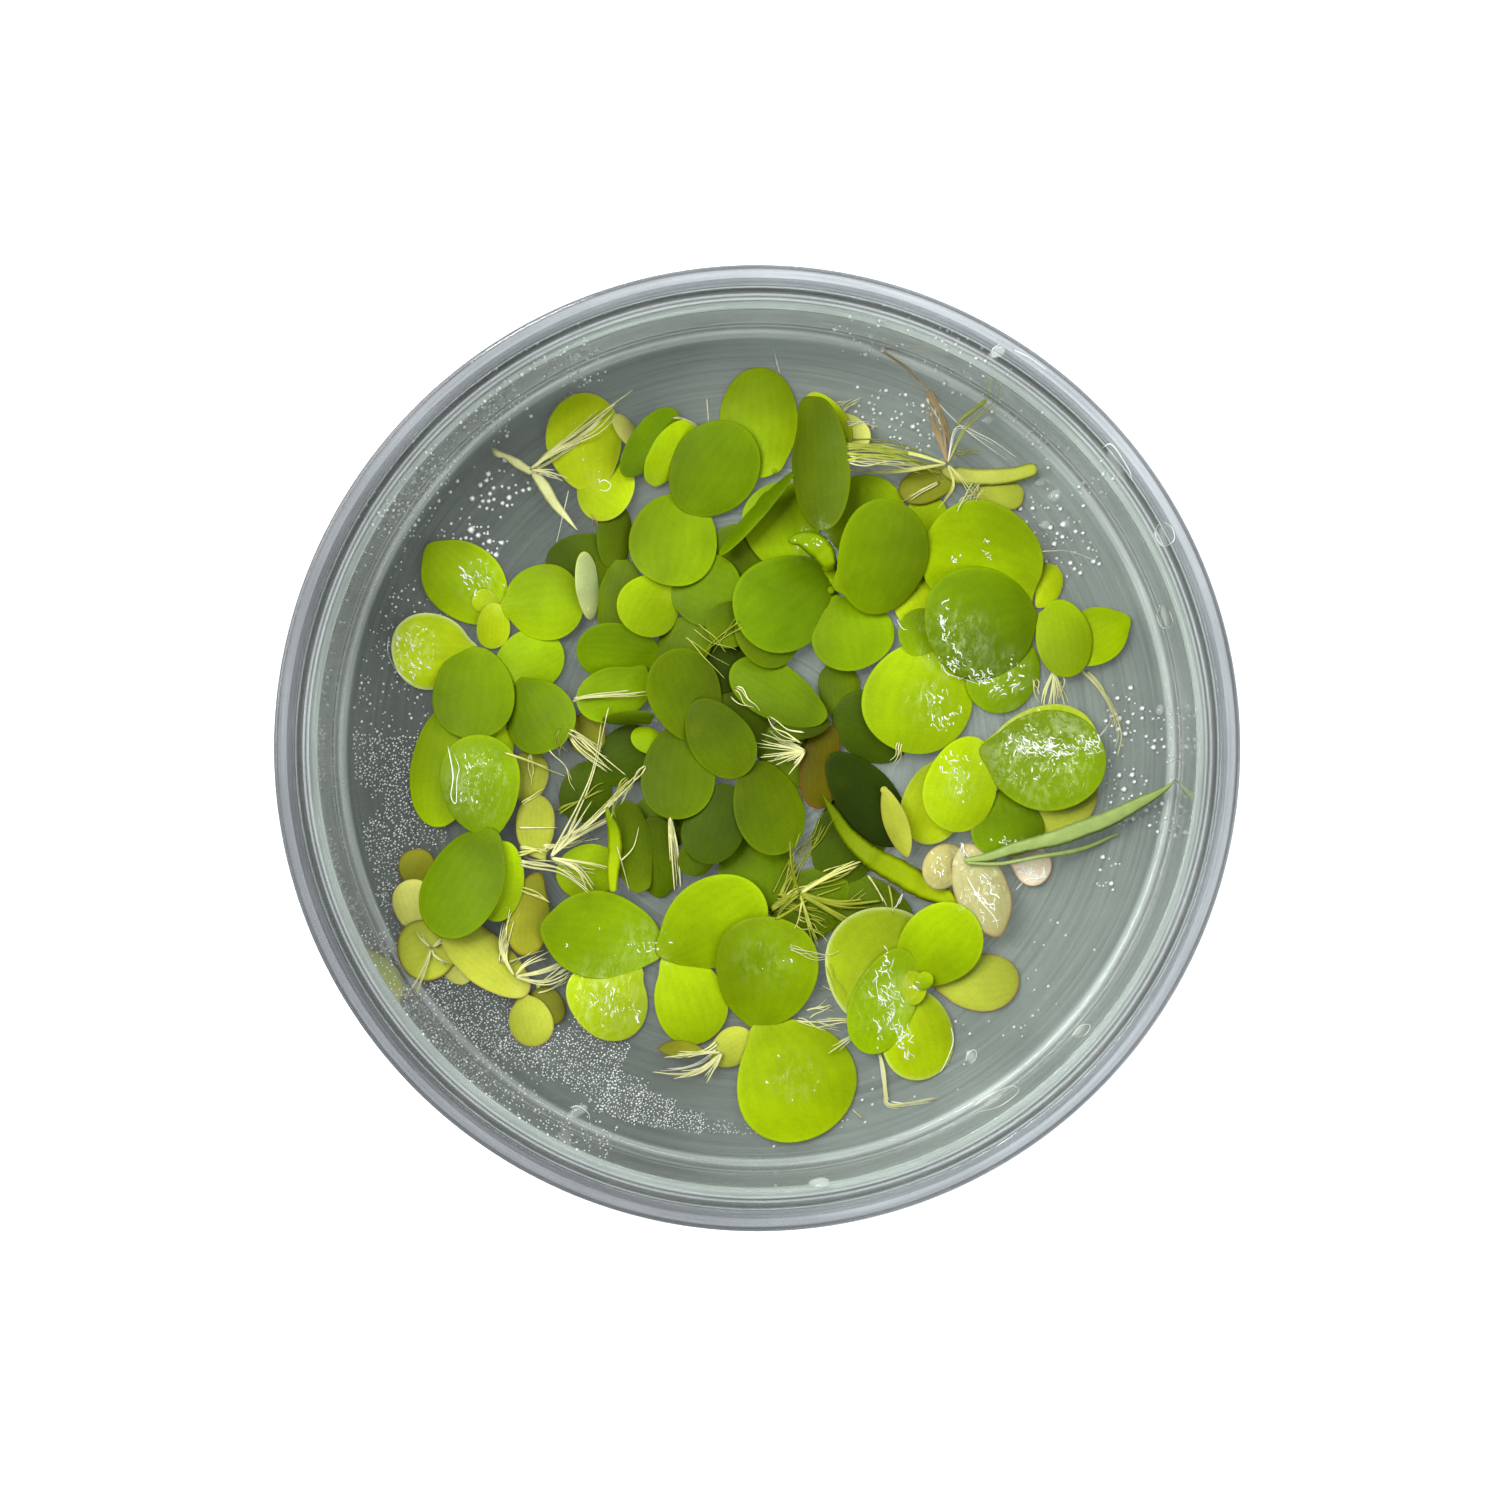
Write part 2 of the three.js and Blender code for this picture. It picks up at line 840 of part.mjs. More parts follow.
function steps(from, to, step) {
  return Array.from({ length: Math.round((to - from) / step) + 1 }, (_, i) => from + i * step);
}

// The tilt at which a frond lies lowest on the heap and on its plant's own fronds.
function settle(plan, own, crownHeight) {
  const cells = cellsUnder(plan, lay.feel);
  const leaning = Math.tan(toRadians(plan.lean));
  const sides = plan.lean ? [leaning] : steps(lay.flattest, -lay.flattest, lay.tiltStep);
  const rises = plan.lean ? lay.leaningTilts : steps(lay.flattest, lay.steepest, lay.tiltStep);
  const toMiddle = plan.middle.clone().sub(plan.crown);
  let best = { cost: Infinity };
  for (const rise of rises)
    for (const side of sides) {
      const belly = frondShape.belly * stretch({ rise, side });
      let attach = tub.floor;
      for (const cell of cells) {
        const bottom = rise * cell.along + side * cell.across - belly * cell.inward;
        attach = Math.max(attach, heights[cell.index] + lay.gap - bottom);
        if (own[cell.index] && !cell.grown) attach = Math.max(attach, own[cell.index] + lay.skin - bottom);
      }
      const middleHeight = attach + rise * toMiddle.dot(plan.ahead) + side * toMiddle.dot(plan.left);
      const tilt = rise * rise + (plan.lean ? 0 : side * side);
      const cost = middleHeight + lay.stiffness * tilt + lay.pull * Math.abs(attach - crownHeight);
      if (cost < best.cost) best = { cost, attach, rise, side };
    }
  return best;
}

// The frond's solid: a thin lens, its two faces meeting at the outline.
function frondSolid(plan, lie) {
  const { middle, outline, ahead, left, crown } = plan;
  const at = (offset, rise) => {
    const place = middle.clone().add(offset);
    const fromCrown = place.clone().sub(crown);
    const edge = edgeHeight(lie, { along: fromCrown.dot(ahead), across: fromCrown.dot(left) });
    return [place.x, place.y, edge + rise * stretch(lie)];
  };
  const count = outline.length;
  const centre = new THREE.Vector2();
  const faces = [at(centre, frondShape.dome), at(centre, -frondShape.belly)];
  const positions = [...outline.map((p) => at(p, 0)), ...faces];
  const triangles = outline.flatMap((_, i) => {
    const next = (i + 1) % count;
    return [
      [count, i, next],
      [count + 1, next, i],
    ];
  });
  return solidOf(positions, triangles);
}

// A small eight-sided bead that ties the pieces of one plant or bunch together at its crown.
function bead([x, y], low, high, radius) {
  const middle = (low + high) / 2;
  const positions = [[x, y, high]];
  for (const [dx, dy] of [[1, 0], [0, 1], [-1, 0], [0, -1]])
    positions.push([x + dx * radius, y + dy * radius, middle]);
  positions.push([x, y, low]);
  const triangles = [1, 2, 3, 4].flatMap((i) => {
    const next = (i % 4) + 1;
    return [
      [0, i, next],
      [5, next, i],
    ];
  });
  return solidOf(positions, triangles);
}

function raise(index, height) {
  heights[index] = Math.max(heights[index], height);
}

// A plant: each frond in turn settles on the heap, then the whole plant counts as part of it.
function plant({ crown, fronds }) {
  const own = new Float64Array(heights.length);
  const plans = fronds.map((frond) => frondPlan(frond, crown));
  let crownHeight = tub.floor;
  const lies = plans.map((plan, i) => {
    const lie = settle(plan, own, i ? crownHeight : tub.floor);
    crownHeight = lie.attach;
    for (const cell of cellsUnder(plan, 0))
      own[cell.index] = Math.max(own[cell.index], topHeight(lie, cell));
    return lie;
  });
  plans.forEach((plan, i) => {
    for (const cell of cellsUnder(plan, lay.margin)) raise(cell.index, topHeight(lies[i], cell));
  });
  const attaches = lies.map((lie) => lie.attach);
  const low = Math.min(...attaches) - frondShape.beadBelow;
  const high = Math.max(...attaches) + frondShape.beadAbove;
  const solids = plans.map((plan, i) => frondSolid(plan, lies[i]));
  return joined([bead(crown, low, high, frondShape.beadRadius), ...solids]);
}

// A strand in plan, in fine steps, with the height that clears the heap at each step.
function strandPlan(crown, places, radius) {
  const points = [crown, ...places].map(([x, y]) => new THREE.Vector3(x, y, 0));
  const curve = new THREE.CatmullRomCurve3(points);
  const count = Math.ceil(curve.getLength() / lay.fine);
  const path = curve.getSpacedPoints(count);
  const around = radius + lay.margin / 2;
  for (const point of path) {
    point.z = tub.floor + lay.gap + radius;
    const low = new THREE.Vector2(point.x - around, point.y - around);
    const high = new THREE.Vector2(point.x + around, point.y + around);
    eachCell(low, high, (index) => {
      point.z = Math.max(point.z, heights[index] + lay.gap + radius);
    });
  }
  return path;
}

// Lifts each step until the strand is nowhere steeper than a root bends.
function ease(path) {
  const drop = rootShape.slope * lay.fine;
  for (let i = 1; i < path.length; i++) path[i].z = Math.max(path[i].z, path[i - 1].z - drop);
  for (let i = path.length - 2; i >= 0; i--) path[i].z = Math.max(path[i].z, path[i + 1].z - drop);
}

// The few sections that the strand's solid is made of, each as high as the highest step beside it.
function sectionsOf(path) {
  const count = Math.max(2, Math.round(((path.length - 1) * lay.fine) / rootShape.step));
  const every = (path.length - 1) / count;
  return Array.from({ length: count + 1 }, (_, i) => {
    const at = Math.round(i * every);
    const from = Math.max(0, Math.floor(at - every));
    const near = path.slice(from, Math.ceil(at + every) + 1);
    return new THREE.Vector3(path[at].x, path[at].y, Math.max(...near.map((p) => p.z)));
  });
}

// The strand's solid: a three-sided thread that thins towards its tip.
function strandSolid(sections, radius, roll) {
  const last = sections.length - 1;
  const corners = [90, 210, 330].map((turn) => toRadians(turn + roll));
  const positions = sections.slice(0, last).flatMap((point, i) => {
    const ahead = sections[i + 1].clone().sub(sections[Math.max(0, i - 1)]).setZ(0).normalize();
    const thin = radius * (1 - (rootShape.taper * i) / last);
    return corners.map((turn) => [
      point.x - ahead.y * Math.cos(turn) * thin,
      point.y + ahead.x * Math.cos(turn) * thin,
      point.z + Math.sin(turn) * thin,
    ]);
  });
  positions.push(sections[last].toArray());
  const tip = positions.length - 1;
  const triangles = [[2, 1, 0]];
  for (let i = 0; i < last; i++)
    for (const k of [0, 1, 2]) {
      const [a, b] = [3 * i + k, 3 * i + ((k + 1) % 3)];
      if (i === last - 1) triangles.push([a, b, tip]);
      else triangles.push([a, b, b + 3], [a, b + 3, a + 3]);
    }
  return solidOf(positions, triangles);
}

// A bunch of roots: its strands start at one height, then the whole bunch counts as part of the heap.
function bunch({ crown, radius, strands }) {
  const paths = strands.map((places) => strandPlan(crown, places, radius));
  const start = Math.max(...paths.map((path) => path[0].z));
  const solids = [bead(crown, start - radius, start + radius, radius * rootShape.bead)];
  const laid = paths.map((path, i) => {
    path[0].z = start;
    ease(path);
    const sections = sectionsOf(path);
    sections[0].z = start;
    for (const section of sections) section.z += i * rootShape.lift;
    solids.push(strandSolid(sections, radius, i * rootShape.roll));
    return sections;
  });
  for (const sections of laid)
    for (let i = 0; i + 1 < sections.length; i++) {
      const count = Math.ceil(sections[i].distanceTo(sections[i + 1]) / lay.fine);
      for (let k = 0; k <= count; k++) {
        const point = sections[i].clone().lerp(sections[i + 1], k / count);
        const around = new THREE.Vector2(radius + lay.margin, radius + lay.margin);
        const low = new THREE.Vector2(point.x, point.y).sub(around);
        const high = new THREE.Vector2(point.x, point.y).add(around);
        eachCell(low, high, (index) => raise(index, point.z + radius));
      }
    }
  return joined(solids);
}

function material(colour, roughness, extra = {}) {
  return new THREE.MeshStandardMaterial({ color: colour, roughness, metalness: 0, ...extra });
}

function named(name, geometry, finish) {
  const mesh = new THREE.Mesh(geometry, finish);
  mesh.name = name;
  return mesh;
}

const bowl = new THREE.Group();
bowl.name = "bowl_of_giant_duckweed";
bowl.add(named("tub", tubGeometry(), material(colours.tub, 0.15, { transparent: true, opacity: 0.4 })));
for (const entry of heap) {
  const piece = entry.fronds ? plant(entry) : bunch(entry);
  const finish = material(colours[entry.tint ?? "roots"], entry.fronds ? 0.4 : 0.55);
  bowl.add(named(entry.name, geometryOf(piece), finish));
}

export default bowl;
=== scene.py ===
# A shallow round tub of clear, smoke-grey plastic with a wet heap of giant duckweed in it.
# Tables are in millimetres, places in the photograph are in its pixels, and meshes are in metres.

import bpy
import numpy as np
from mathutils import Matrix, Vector
from mathutils.bvhtree import BVHTree


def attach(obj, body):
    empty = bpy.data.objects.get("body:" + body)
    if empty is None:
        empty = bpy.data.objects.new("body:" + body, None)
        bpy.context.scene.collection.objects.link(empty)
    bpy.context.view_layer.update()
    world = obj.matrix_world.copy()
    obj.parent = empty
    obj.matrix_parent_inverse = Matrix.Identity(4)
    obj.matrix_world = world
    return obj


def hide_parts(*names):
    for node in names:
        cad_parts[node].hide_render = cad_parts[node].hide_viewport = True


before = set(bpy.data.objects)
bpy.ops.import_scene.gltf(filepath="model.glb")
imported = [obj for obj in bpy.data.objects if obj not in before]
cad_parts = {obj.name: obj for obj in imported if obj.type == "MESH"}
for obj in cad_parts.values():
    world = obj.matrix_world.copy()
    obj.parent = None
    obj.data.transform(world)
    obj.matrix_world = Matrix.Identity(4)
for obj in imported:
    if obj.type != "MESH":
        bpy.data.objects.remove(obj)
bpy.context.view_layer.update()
rng = np.random.default_rng(11)
mm = 0.001

photo = {
    "size": 1512,
    "middle": (757, 748),  # of the heap, in pixels
    "millimetres": 0.0972,  # to a pixel, at the height of the heap
}
camera = {
    "height": 320.0,
    "across": -0.1,
    "up": -0.74,
    "lens": 76.8,
    "sensor": 36.0,
    "sight": (0.01, 10),  # from and to, in metres
}


def linear(colour):  # 0 to 255 as on a screen, into linear light
    return (np.array(colour, float) / 255) ** 2.2


def inHeap(places):  # pixels into millimetres at the height of the heap
    offset = np.asarray(places, float) - photo["middle"]
    return offset * photo["millimetres"] * (1, -1)


def rayThrough(pixel):  # from the lens through a pixel: a start and a direction
    across, down = (np.asarray(pixel, float) - photo["size"] / 2) / photo["size"]
    start = Vector((camera["across"], camera["up"], camera["height"]))
    along = camera["lens"] / camera["sensor"]
    return start, Vector((across, -down, -along)).normalized()


def ramp(values, low, high):  # 0 under low, 1 over high, smooth between
    t = np.clip((np.asarray(values, float) - low) / (high - low), 0, 1)
    return t * t * (3 - 2 * t)


def mixed(first, second, share):  # colours from first to second, by share
    share = np.asarray(share, float)[..., None]
    return np.asarray(first) * (1 - share) + np.asarray(second) * share


class Pile:
    # Gathers shells into one mesh. A shell is a grid of points that closes round its columns and
    # runs from one pole to the other, so that it is a closed skin.
    def __init__(self):
        self.points, self.spreads, self.tones, self.wets = [], [], [], []
        self.quads, self.triangles, self.count = [], [], 0

    def add(self, poles, grid, tone, spread=None, wet=None):
        rows, columns = grid.shape[:2]
        ring = np.arange(columns)
        after = (ring + 1) % columns
        inner = self.count + 1 + np.arange(rows - 1)[:, None] * columns
        outer = inner + columns
        quads = np.stack([inner + ring, outer + ring, outer + after, inner + after], -1)
        self.quads.append(quads.reshape(-1, 4))
        first, last = self.count, self.count + 1 + rows * columns
        low, high = first + 1, last - columns
        self.triangles.append(np.stack([np.full(columns, first), low + ring, low + after], -1))
        self.triangles.append(np.stack([np.full(columns, last), high + after, high + ring], -1))

        def withPoles(values, width):  # a pole takes the mean of the ring beside it
            values = np.broadcast_to(values, (rows, columns, width))
            start, end = values[0].mean(0)[None], values[-1].mean(0)[None]
            return np.concatenate([start, values.reshape(-1, width), end])

        self.points.append(np.concatenate([poles[:1], grid.reshape(-1, 3), poles[1:]]))
        self.tones.append(withPoles(tone, 3))
        self.spreads.append(withPoles(0.0 if spread is None else spread, 2))
        self.wets.append(withPoles(0.0 if wet is None else wet[..., None], 1)[:, 0])
        self.count += rows * columns + 2

    def mesh(self):  # points in millimetres, and faces
        faces = np.concatenate(self.quads).tolist() + np.concatenate(self.triangles).tolist()
        return np.concatenate(self.points), faces


def makePiece(name, pile, material, nodes=()):
    points, faces = pile.mesh()
    data = bpy.data.meshes.new(name)
    data.from_pydata((points * mm).tolist(), [], faces)
    data.polygons.foreach_set("use_smooth", np.ones(len(faces), bool))
    corners = np.empty(len(data.loops), np.int32)
    data.loops.foreach_get("vertex_index", corners)
    spread = data.uv_layers.new(name="spread")
    spread.data.foreach_set("uv", np.concatenate(pile.spreads)[corners].ravel())
    tones = np.concatenate(pile.tones)
    colour = np.concatenate([tones, np.ones((len(tones), 1))], 1)
    data.attributes.new("tone", "FLOAT_COLOR", "POINT").data.foreach_set("color", colour.ravel())
    data.attributes.new("wet", "FLOAT", "POINT").data.foreach_set("value", np.concatenate(pile.wets))
    data.materials.append(material)
    data.update()
    piece = bpy.data.objects.new(name, data)
    bpy.context.scene.collection.objects.link(piece)
    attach(piece, "root")
    if nodes:
        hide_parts(*nodes)


def treeOf(points, faces):  # ready for rays, in millimetres
    return BVHTree.FromPolygons(np.asarray(points).tolist(), faces)


def nodePoints(name):  # a CAD node's corners, in millimetres
    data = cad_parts[name].data
    points = np.empty(len(data.vertices) * 3)
    data.vertices.foreach_get("co", points)
    return points.reshape(-1, 3) / mm


# Materials. Each is one Principled surface, with patterns from noise on Object coordinates or
# from the piece's own attributes.
def newMaterial(name):
    material = bpy.data.materials.new(name)
    material.use_nodes = True
    tree = material.node_tree
    return material, tree, tree.nodes["Principled BSDF"].inputs


def noise(tree, scale, detail, stretch=(1, 1, 1)):
    place = tree.nodes.new("ShaderNodeTexCoord")
    mapping = tree.nodes.new("ShaderNodeMapping")
    mapping.inputs["Scale"].default_value = stretch
    node = tree.nodes.new("ShaderNodeTexNoise")
    node.inputs["Scale"].default_value = scale
    node.inputs["Detail"].default_value = detail
    tree.links.new(place.outputs["Object"], mapping.inputs["Vector"])
    tree.links.new(mapping.outputs["Vector"], node.inputs["Vector"])
    return node.outputs["Fac"]


def stepped(tree, value, fromLow, fromHigh, low, high):  # a value carried from one range to another
    node = tree.nodes.new("ShaderNodeMapRange")
    numbers = {"From Min": fromLow, "From Max": fromHigh, "To Min": low, "To Max": high}
    for socket, number in numbers.items():
        node.inputs[socket].default_value = number
    tree.links.new(value, node.inputs["Value"])
    return node.outputs["Result"]


def patchy(tree, look):  # noise carried into a range, "from" one "to" another
    pattern = noise(tree, look["scale"], look["detail"], look.get("stretch", (1, 1, 1)))
    return stepped(tree, pattern, *look.get("from", (0.3, 0.7)), *look["to"])


def worked(tree, operation, first, second):  # two numbers or sockets through a Math node
    node = tree.nodes.new("ShaderNodeMath")
    node.operation = operation
    for socket, value in zip(node.inputs, (first, second)):
        if isinstance(value, (int, float)):
            socket.default_value = value
        else:
            tree.links.new(value, socket)
    return node.outputs["Value"]


def attribute(tree, name):
    node = tree.nodes.new("ShaderNodeAttribute")
    node.attribute_name = name
    return node.outputs


def scaled(tree, colour, factor):  # a colour times a number that varies
    node = tree.nodes.new("ShaderNodeVectorMath")
    node.operation = "SCALE"
    tree.links.new(colour, node.inputs[0])
    tree.links.new(factor, node.inputs["Scale"])
    return node.outputs["Vector"]


def blended(tree, first, second, factor):  # from the first colour to the second, which may be fixed
    node = tree.nodes.new("ShaderNodeMix")
    node.data_type = "RGBA"
    tree.links.new(factor, node.inputs["Factor"])
    start, end, result = node.inputs[6], node.inputs[7], node.outputs[2]  # those for colours
    tree.links.new(first, start)
    if isinstance(second, tuple):
        end.default_value = second
    else:
        tree.links.new(second, end)
    return result


def bumped(tree, height, strength, depth, under=None):  # relief of a depth in millimetres
    node = tree.nodes.new("ShaderNodeBump")
    node.inputs["Strength"].default_value = strength
    node.inputs["Distance"].default_value = depth * mm
    tree.links.new(height, node.inputs["Height"])
    if under is not None:
        tree.links.new(under, node.inputs["Normal"])
    return node.outputs["Normal"]


def grained(tree, look):  # relief from noise
    return bumped(tree, noise(tree, look["scale"], look["detail"]), look["strength"], look["depth"])


def setSockets(inputs, values):  # constants of the surface
    for name, value in values.items():
        inputs[name].default_value = value


# Camera, floor and light
studio = {
    "floor": {"across": 2400.0, "height": -0.1, "white": 0.93, "rough": 0.9, "glow": 0.4},
    "world": {"colour": (0.96, 0.98, 1.0, 1), "strength": 0.34},
    "lights": {
        "key": {"turn": 150, "rise": 58, "away": 0.62, "size": 0.36, "watts": 4.8},
        "fill": {"turn": -25, "rise": 38, "away": 0.62, "size": 0.5, "watts": 2.6},
        "back": {"turn": 65, "rise": 50, "away": 0.62, "size": 0.24, "watts": 1.2},
        "glint": {"turn": 118, "rise": 71, "away": 0.62, "size": 0.05, "watts": 0.55},
    },
}


def addCamera():
    data = bpy.data.cameras.new("camera")
    data.lens = camera["lens"]
    data.sensor_width = camera["sensor"]
    data.clip_start, data.clip_end = camera["sight"]
    holder = bpy.data.objects.new("camera", data)
    holder.location = Vector((camera["across"], camera["up"], camera["height"])) * mm
    bpy.context.scene.collection.objects.link(holder)
    bpy.context.scene.camera = holder


def addLight(name, turn, rise, away, size, watts):  # a square softbox that faces the tub
    data = bpy.data.lights.new(name, "AREA")
    data.shape = "SQUARE"
    data.size = size
    data.energy = watts
    lamp = bpy.data.objects.new(name, data)
    turn, rise = np.radians([turn, rise])
    out = Vector((np.cos(rise) * np.cos(turn), np.cos(rise) * np.sin(turn), np.sin(rise)))
    lamp.location = out * away
    lamp.rotation_euler = out.to_track_quat("Z", "Y").to_euler()
    bpy.context.scene.collection.objects.link(lamp)


def addFloor(across, height, white, rough, glow):  # the glow keeps it white in the tub's shadow
    half = across / 2
    data = bpy.data.meshes.new("table")
    corners = np.array([(-half, -half), (half, -half), (half, half), (-half, half)])
    data.from_pydata((np.c_[corners, np.full(4, height)] * mm).tolist(), [], [(0, 1, 2, 3)])
    material, tree, inputs = newMaterial("white table")
    inputs["Base Color"].default_value = (white, white, white, 1)
    inputs["Roughness"].default_value = rough
    inputs["Emission Color"].default_value = (1, 1, 1, 1)
    inputs["Emission Strength"].default_value = glow
    data.materials.append(material)
    table = bpy.data.objects.new("table", data)
    bpy.context.scene.collection.objects.link(table)


def addWorld(colour, strength):
    world = bpy.data.worlds.new("studio")
    world.use_nodes = True
    sky = world.node_tree.nodes["Background"].inputs
    sky["Color"].default_value = colour
    sky["Strength"].default_value = strength
    bpy.context.scene.world = world
    bpy.context.scene.view_settings.view_transform = "Standard"


addCamera()
addFloor(**studio["floor"])
addWorld(**studio["world"])
for lightName, light in studio["lights"].items():
    addLight(lightName, **light)
print("camera, floor and light are in place")


above, below = 40.0, -1.0  # heights that vertical rays start from


def evenPath(places, step):
    # A Catmull-Rom curve through the places, in 12 pieces between two of them, sampled again at
    # equal steps.
    places = np.asarray(places, float)
    knots = np.vstack([2 * places[0] - places[1], places, 2 * places[-1] - places[-2]])
    s = np.linspace(0, 1, 12, endpoint=False)[:, None]
    parts = []
    for a, b, c, d in zip(knots[:-3], knots[1:-2], knots[2:-1], knots[3:]):
        slope = (c - a) * s / 2
        bend = (2 * a - 5 * b + 4 * c - d) * s**2 / 2
        twist = (3 * b - a - 3 * c + d) * s**3 / 2
        parts.append(b + slope + bend + twist)
    path = np.vstack([*parts, places[-1:]])
    lengths = np.r_[0, np.cumsum(np.linalg.norm(np.diff(path, axis=0), axis=1))]
    even = np.linspace(0, lengths[-1], max(4, int(lengths[-1] / step) + 1))
    return np.stack([np.interp(even, lengths, values) for values in path.T], 1)


def castFrom(start, tree, places):  # heights where vertical rays meet a surface, or nan beside it
    way = Vector((0, 0, -1 if start == above else 1))
    hits = [tree.ray_cast(Vector((x, y, start)), way)[0] for x, y in places]
    return np.array([np.nan if hit is None else hit.z for hit in hits])


def bridged(values):  # fills the gaps of nan along a path
    known = ~np.isnan(values)
    return np.interp(np.arange(len(values)), np.flatnonzero(known), values[known])


def sweep(pile, path, radius, tone, wide=1.0, taper=0.65):
    # Sections round the path: side times cos turn times a width, plus over times sin turn. They
    # are thinner towards the tip by the taper, and the width may vary along the path.
    ahead = np.gradient(path, axis=0)
    ahead /= np.linalg.norm(ahead, axis=1)[:, None]
    side = np.cross(ahead, (0, 0, 1))
    side /= np.linalg.norm(side, axis=1)[:, None]
    over = np.cross(side, ahead)
    sides = 6
    turns = np.linspace(0, 2 * np.pi, sides, endpoint=False)[:, None]
    share = np.linspace(0, 1, len(path))[1:-1, None, None]
    thin = radius * (1 - taper * share)
    wide = np.broadcast_to(wide, len(path))[1:-1, None, None]
    section = side[1:-1, None] * wide * np.cos(turns) + over[1:-1, None] * np.sin(turns)
    pile.add(path[[0, -1]], path[1:-1, None] + section * thin, tone)


def globe(rise, turns):  # a grid of (cos rise cos turn, cos rise sin turn, sin rise)
    rise = np.radians(rise)[:, None]
    level = np.cos(rise)
    return np.stack([level * np.cos(turns), level * np.sin(turns), np.sin(rise) + 0 * turns], -1)


# The tub
tub = {
    "height": 20.0,
    "rimRadius": 45.0,
    "lipInside": 43.0,
    "lipFoot": 42.7,
    "stepHeight": 16.0,
    "wallTop": 41.4,
    "wallFoot": 41.3,
    "wall": 0.9,
    "lipDepth": 1.8,
    "floor": 1.2,
    "cornerRound": 0.6,
    "footRound": 1.9,
    "edgeRound": 0.3,
    "stepRound": 0.2,
    "lipRound": 0.15,
    "roundSteps": 7,
    "turns": 256,
    "line": (6.0, 0.25, 0.1),  # a fine ridge inside the wall: height, half width and depth
    "near": 0.3,  # how far from the ends a straight run gets its extra points
    "paintedLightRight": 2.45,  # painted light: how much lighter the plastic is made at its right
    "outsidePaintedLight": 1.5,  # the same for its outer faces
    "paintedLightFrom": (0.1, 0.6),  # where, from left to right, the painted light starts and ends to grow
    "paintedLightSlope": 0.15,  # how much that grows up the photograph, against 1 to the right
    "colours": {  # and how little each takes of the painted light to the right
        "smoke": (0.138, 0.157, 0.141, 0),
        "haze": (0.198, 0.224, 0.208, 0.5),  # the floor's edge, up to the foot of the wall
        "lip": (0.22, 0.236, 0.247, 0.25),
        "wall": (0.3, 0.33, 0.315, 0.7),
        # painted shade: thin near-black lines along the rims and edges
        "dark": (0.05, 0.055, 0.055, 1),
        "mint": (0.66, 0.75, 0.70, 1),
        # painted highlight: thin bright lines along the rims and edges
        "white": (0.95, 0.97, 0.96, 1),
    },
    "bands": [  # where the inside has its colours, as a share of the rim's radius from above; the thin white and near-black bands are painted highlight lines and painted shade lines along the rims and edges
        (0.0, "smoke"), (0.74, "smoke"), (0.83, "haze"), (0.847, "haze"), (0.850, "mint"),
        (0.855, "mint"), (0.858, "wall"), (0.861, "white"), (0.864, "wall"), (0.868, "dark"),
        (0.871, "dark"), (0.874, "wall"), (0.877, "white"), (0.880, "wall"), (0.905, "wall"),
        (0.909, "mint"), (0.929, "mint"), (0.932, "dark"), (0.935, "dark"), (0.939, "white"),
        (0.942, "lip"), (0.948, "dark"), (0.953, "lip"), (0.988, "lip"), (0.993, "dark"),
        (1.0, "lip"),
    ],
    "cloud": {"scale": 60, "detail": 4, "to": (0.9, 1.1)},
    "streaks": {"round": 55.0, "across": 160.0, "detail": 3, "from": (0.3, 0.7), "to": (0.78, 1.22)},
    "rough": {"scale": 700, "detail": 2, "from": (0.45, 0.75), "to": (0.03, 0.10)},
    "ripple": {"scale": 70, "detail": 2, "strength": 0.1, "depth": 0.4},
    "sockets": {"Transmission Weight": 0.72, "IOR": 1.3},
}


def tubProfile():
    # Corners are [radius, height, round, outside]. A round is a quadratic arc that starts and ends
    # that far from its corner. Straight runs get a point close to each of their ends.
    wallOutside = tub["wallTop"] + tub["wall"]
    stepOutside = tub["lipInside"] + tub["wall"]
    lipUnder = tub["height"] - tub["lipDepth"]
    lineAt, lineHalf, lineDeep = tub["line"]
    wallAt = (tub["wallTop"] + tub["wallFoot"]) / 2
    corners = np.array([
        (0, 0, 0, 0),
        (tub["wallFoot"] + tub["wall"], 0, tub["footRound"], 0),
        (wallOutside, tub["stepHeight"] - tub["wall"], tub["stepRound"], 1),
        (stepOutside, tub["stepHeight"] - tub["wall"], tub["stepRound"], 1),
        (stepOutside, lipUnder, tub["stepRound"], 1),
        (tub["rimRadius"], lipUnder, tub["lipRound"], 1),
        (tub["rimRadius"], tub["height"], tub["edgeRound"], 0),
        (tub["lipInside"], tub["height"], tub["edgeRound"], 0),
        (tub["lipFoot"], tub["stepHeight"], tub["edgeRound"] / 2, 0),
        (tub["wallTop"], tub["stepHeight"], tub["edgeRound"] / 2, 0),
        (wallAt, lineAt + lineHalf, 0, 0),
        (wallAt - lineDeep, lineAt, 0, 0),
        (wallAt, lineAt - lineHalf, 0, 0),
        (tub["wallFoot"], tub["floor"], tub["cornerRound"], 0),
        (0, tub["floor"], 0, 0),
    ])
    points = []
    for i, (radius, height, rounding, outside) in enumerate(corners):
        here = corners[i, :2]
        if not rounding:
            points.append((radius, height, outside))
            continue
        ends = []
        for other in (corners[i - 1, :2], corners[i + 1, :2]):
            ends.append(here + (other - here) / np.hypot(*(other - here)) * rounding)
        for s in np.linspace(0, 1, tub["roundSteps"]):
            place = ends[0] * (1 - s) ** 2 + here * 2 * s * (1 - s) + ends[1] * s**2
            points.append((*place, outside))
    points = np.array(points)
    filled = [points[:1]]
    for before, after in zip(points[:-1], points[1:]):
        length = np.hypot(*(after - before)[:2])
        if length > 3 * tub["near"]:
            shares = np.array([tub["near"], length - tub["near"]]) / length
            filled.append(before + (after - before) * shares[:, None])
        filled.append(after[None])
    return np.concatenate(filled)


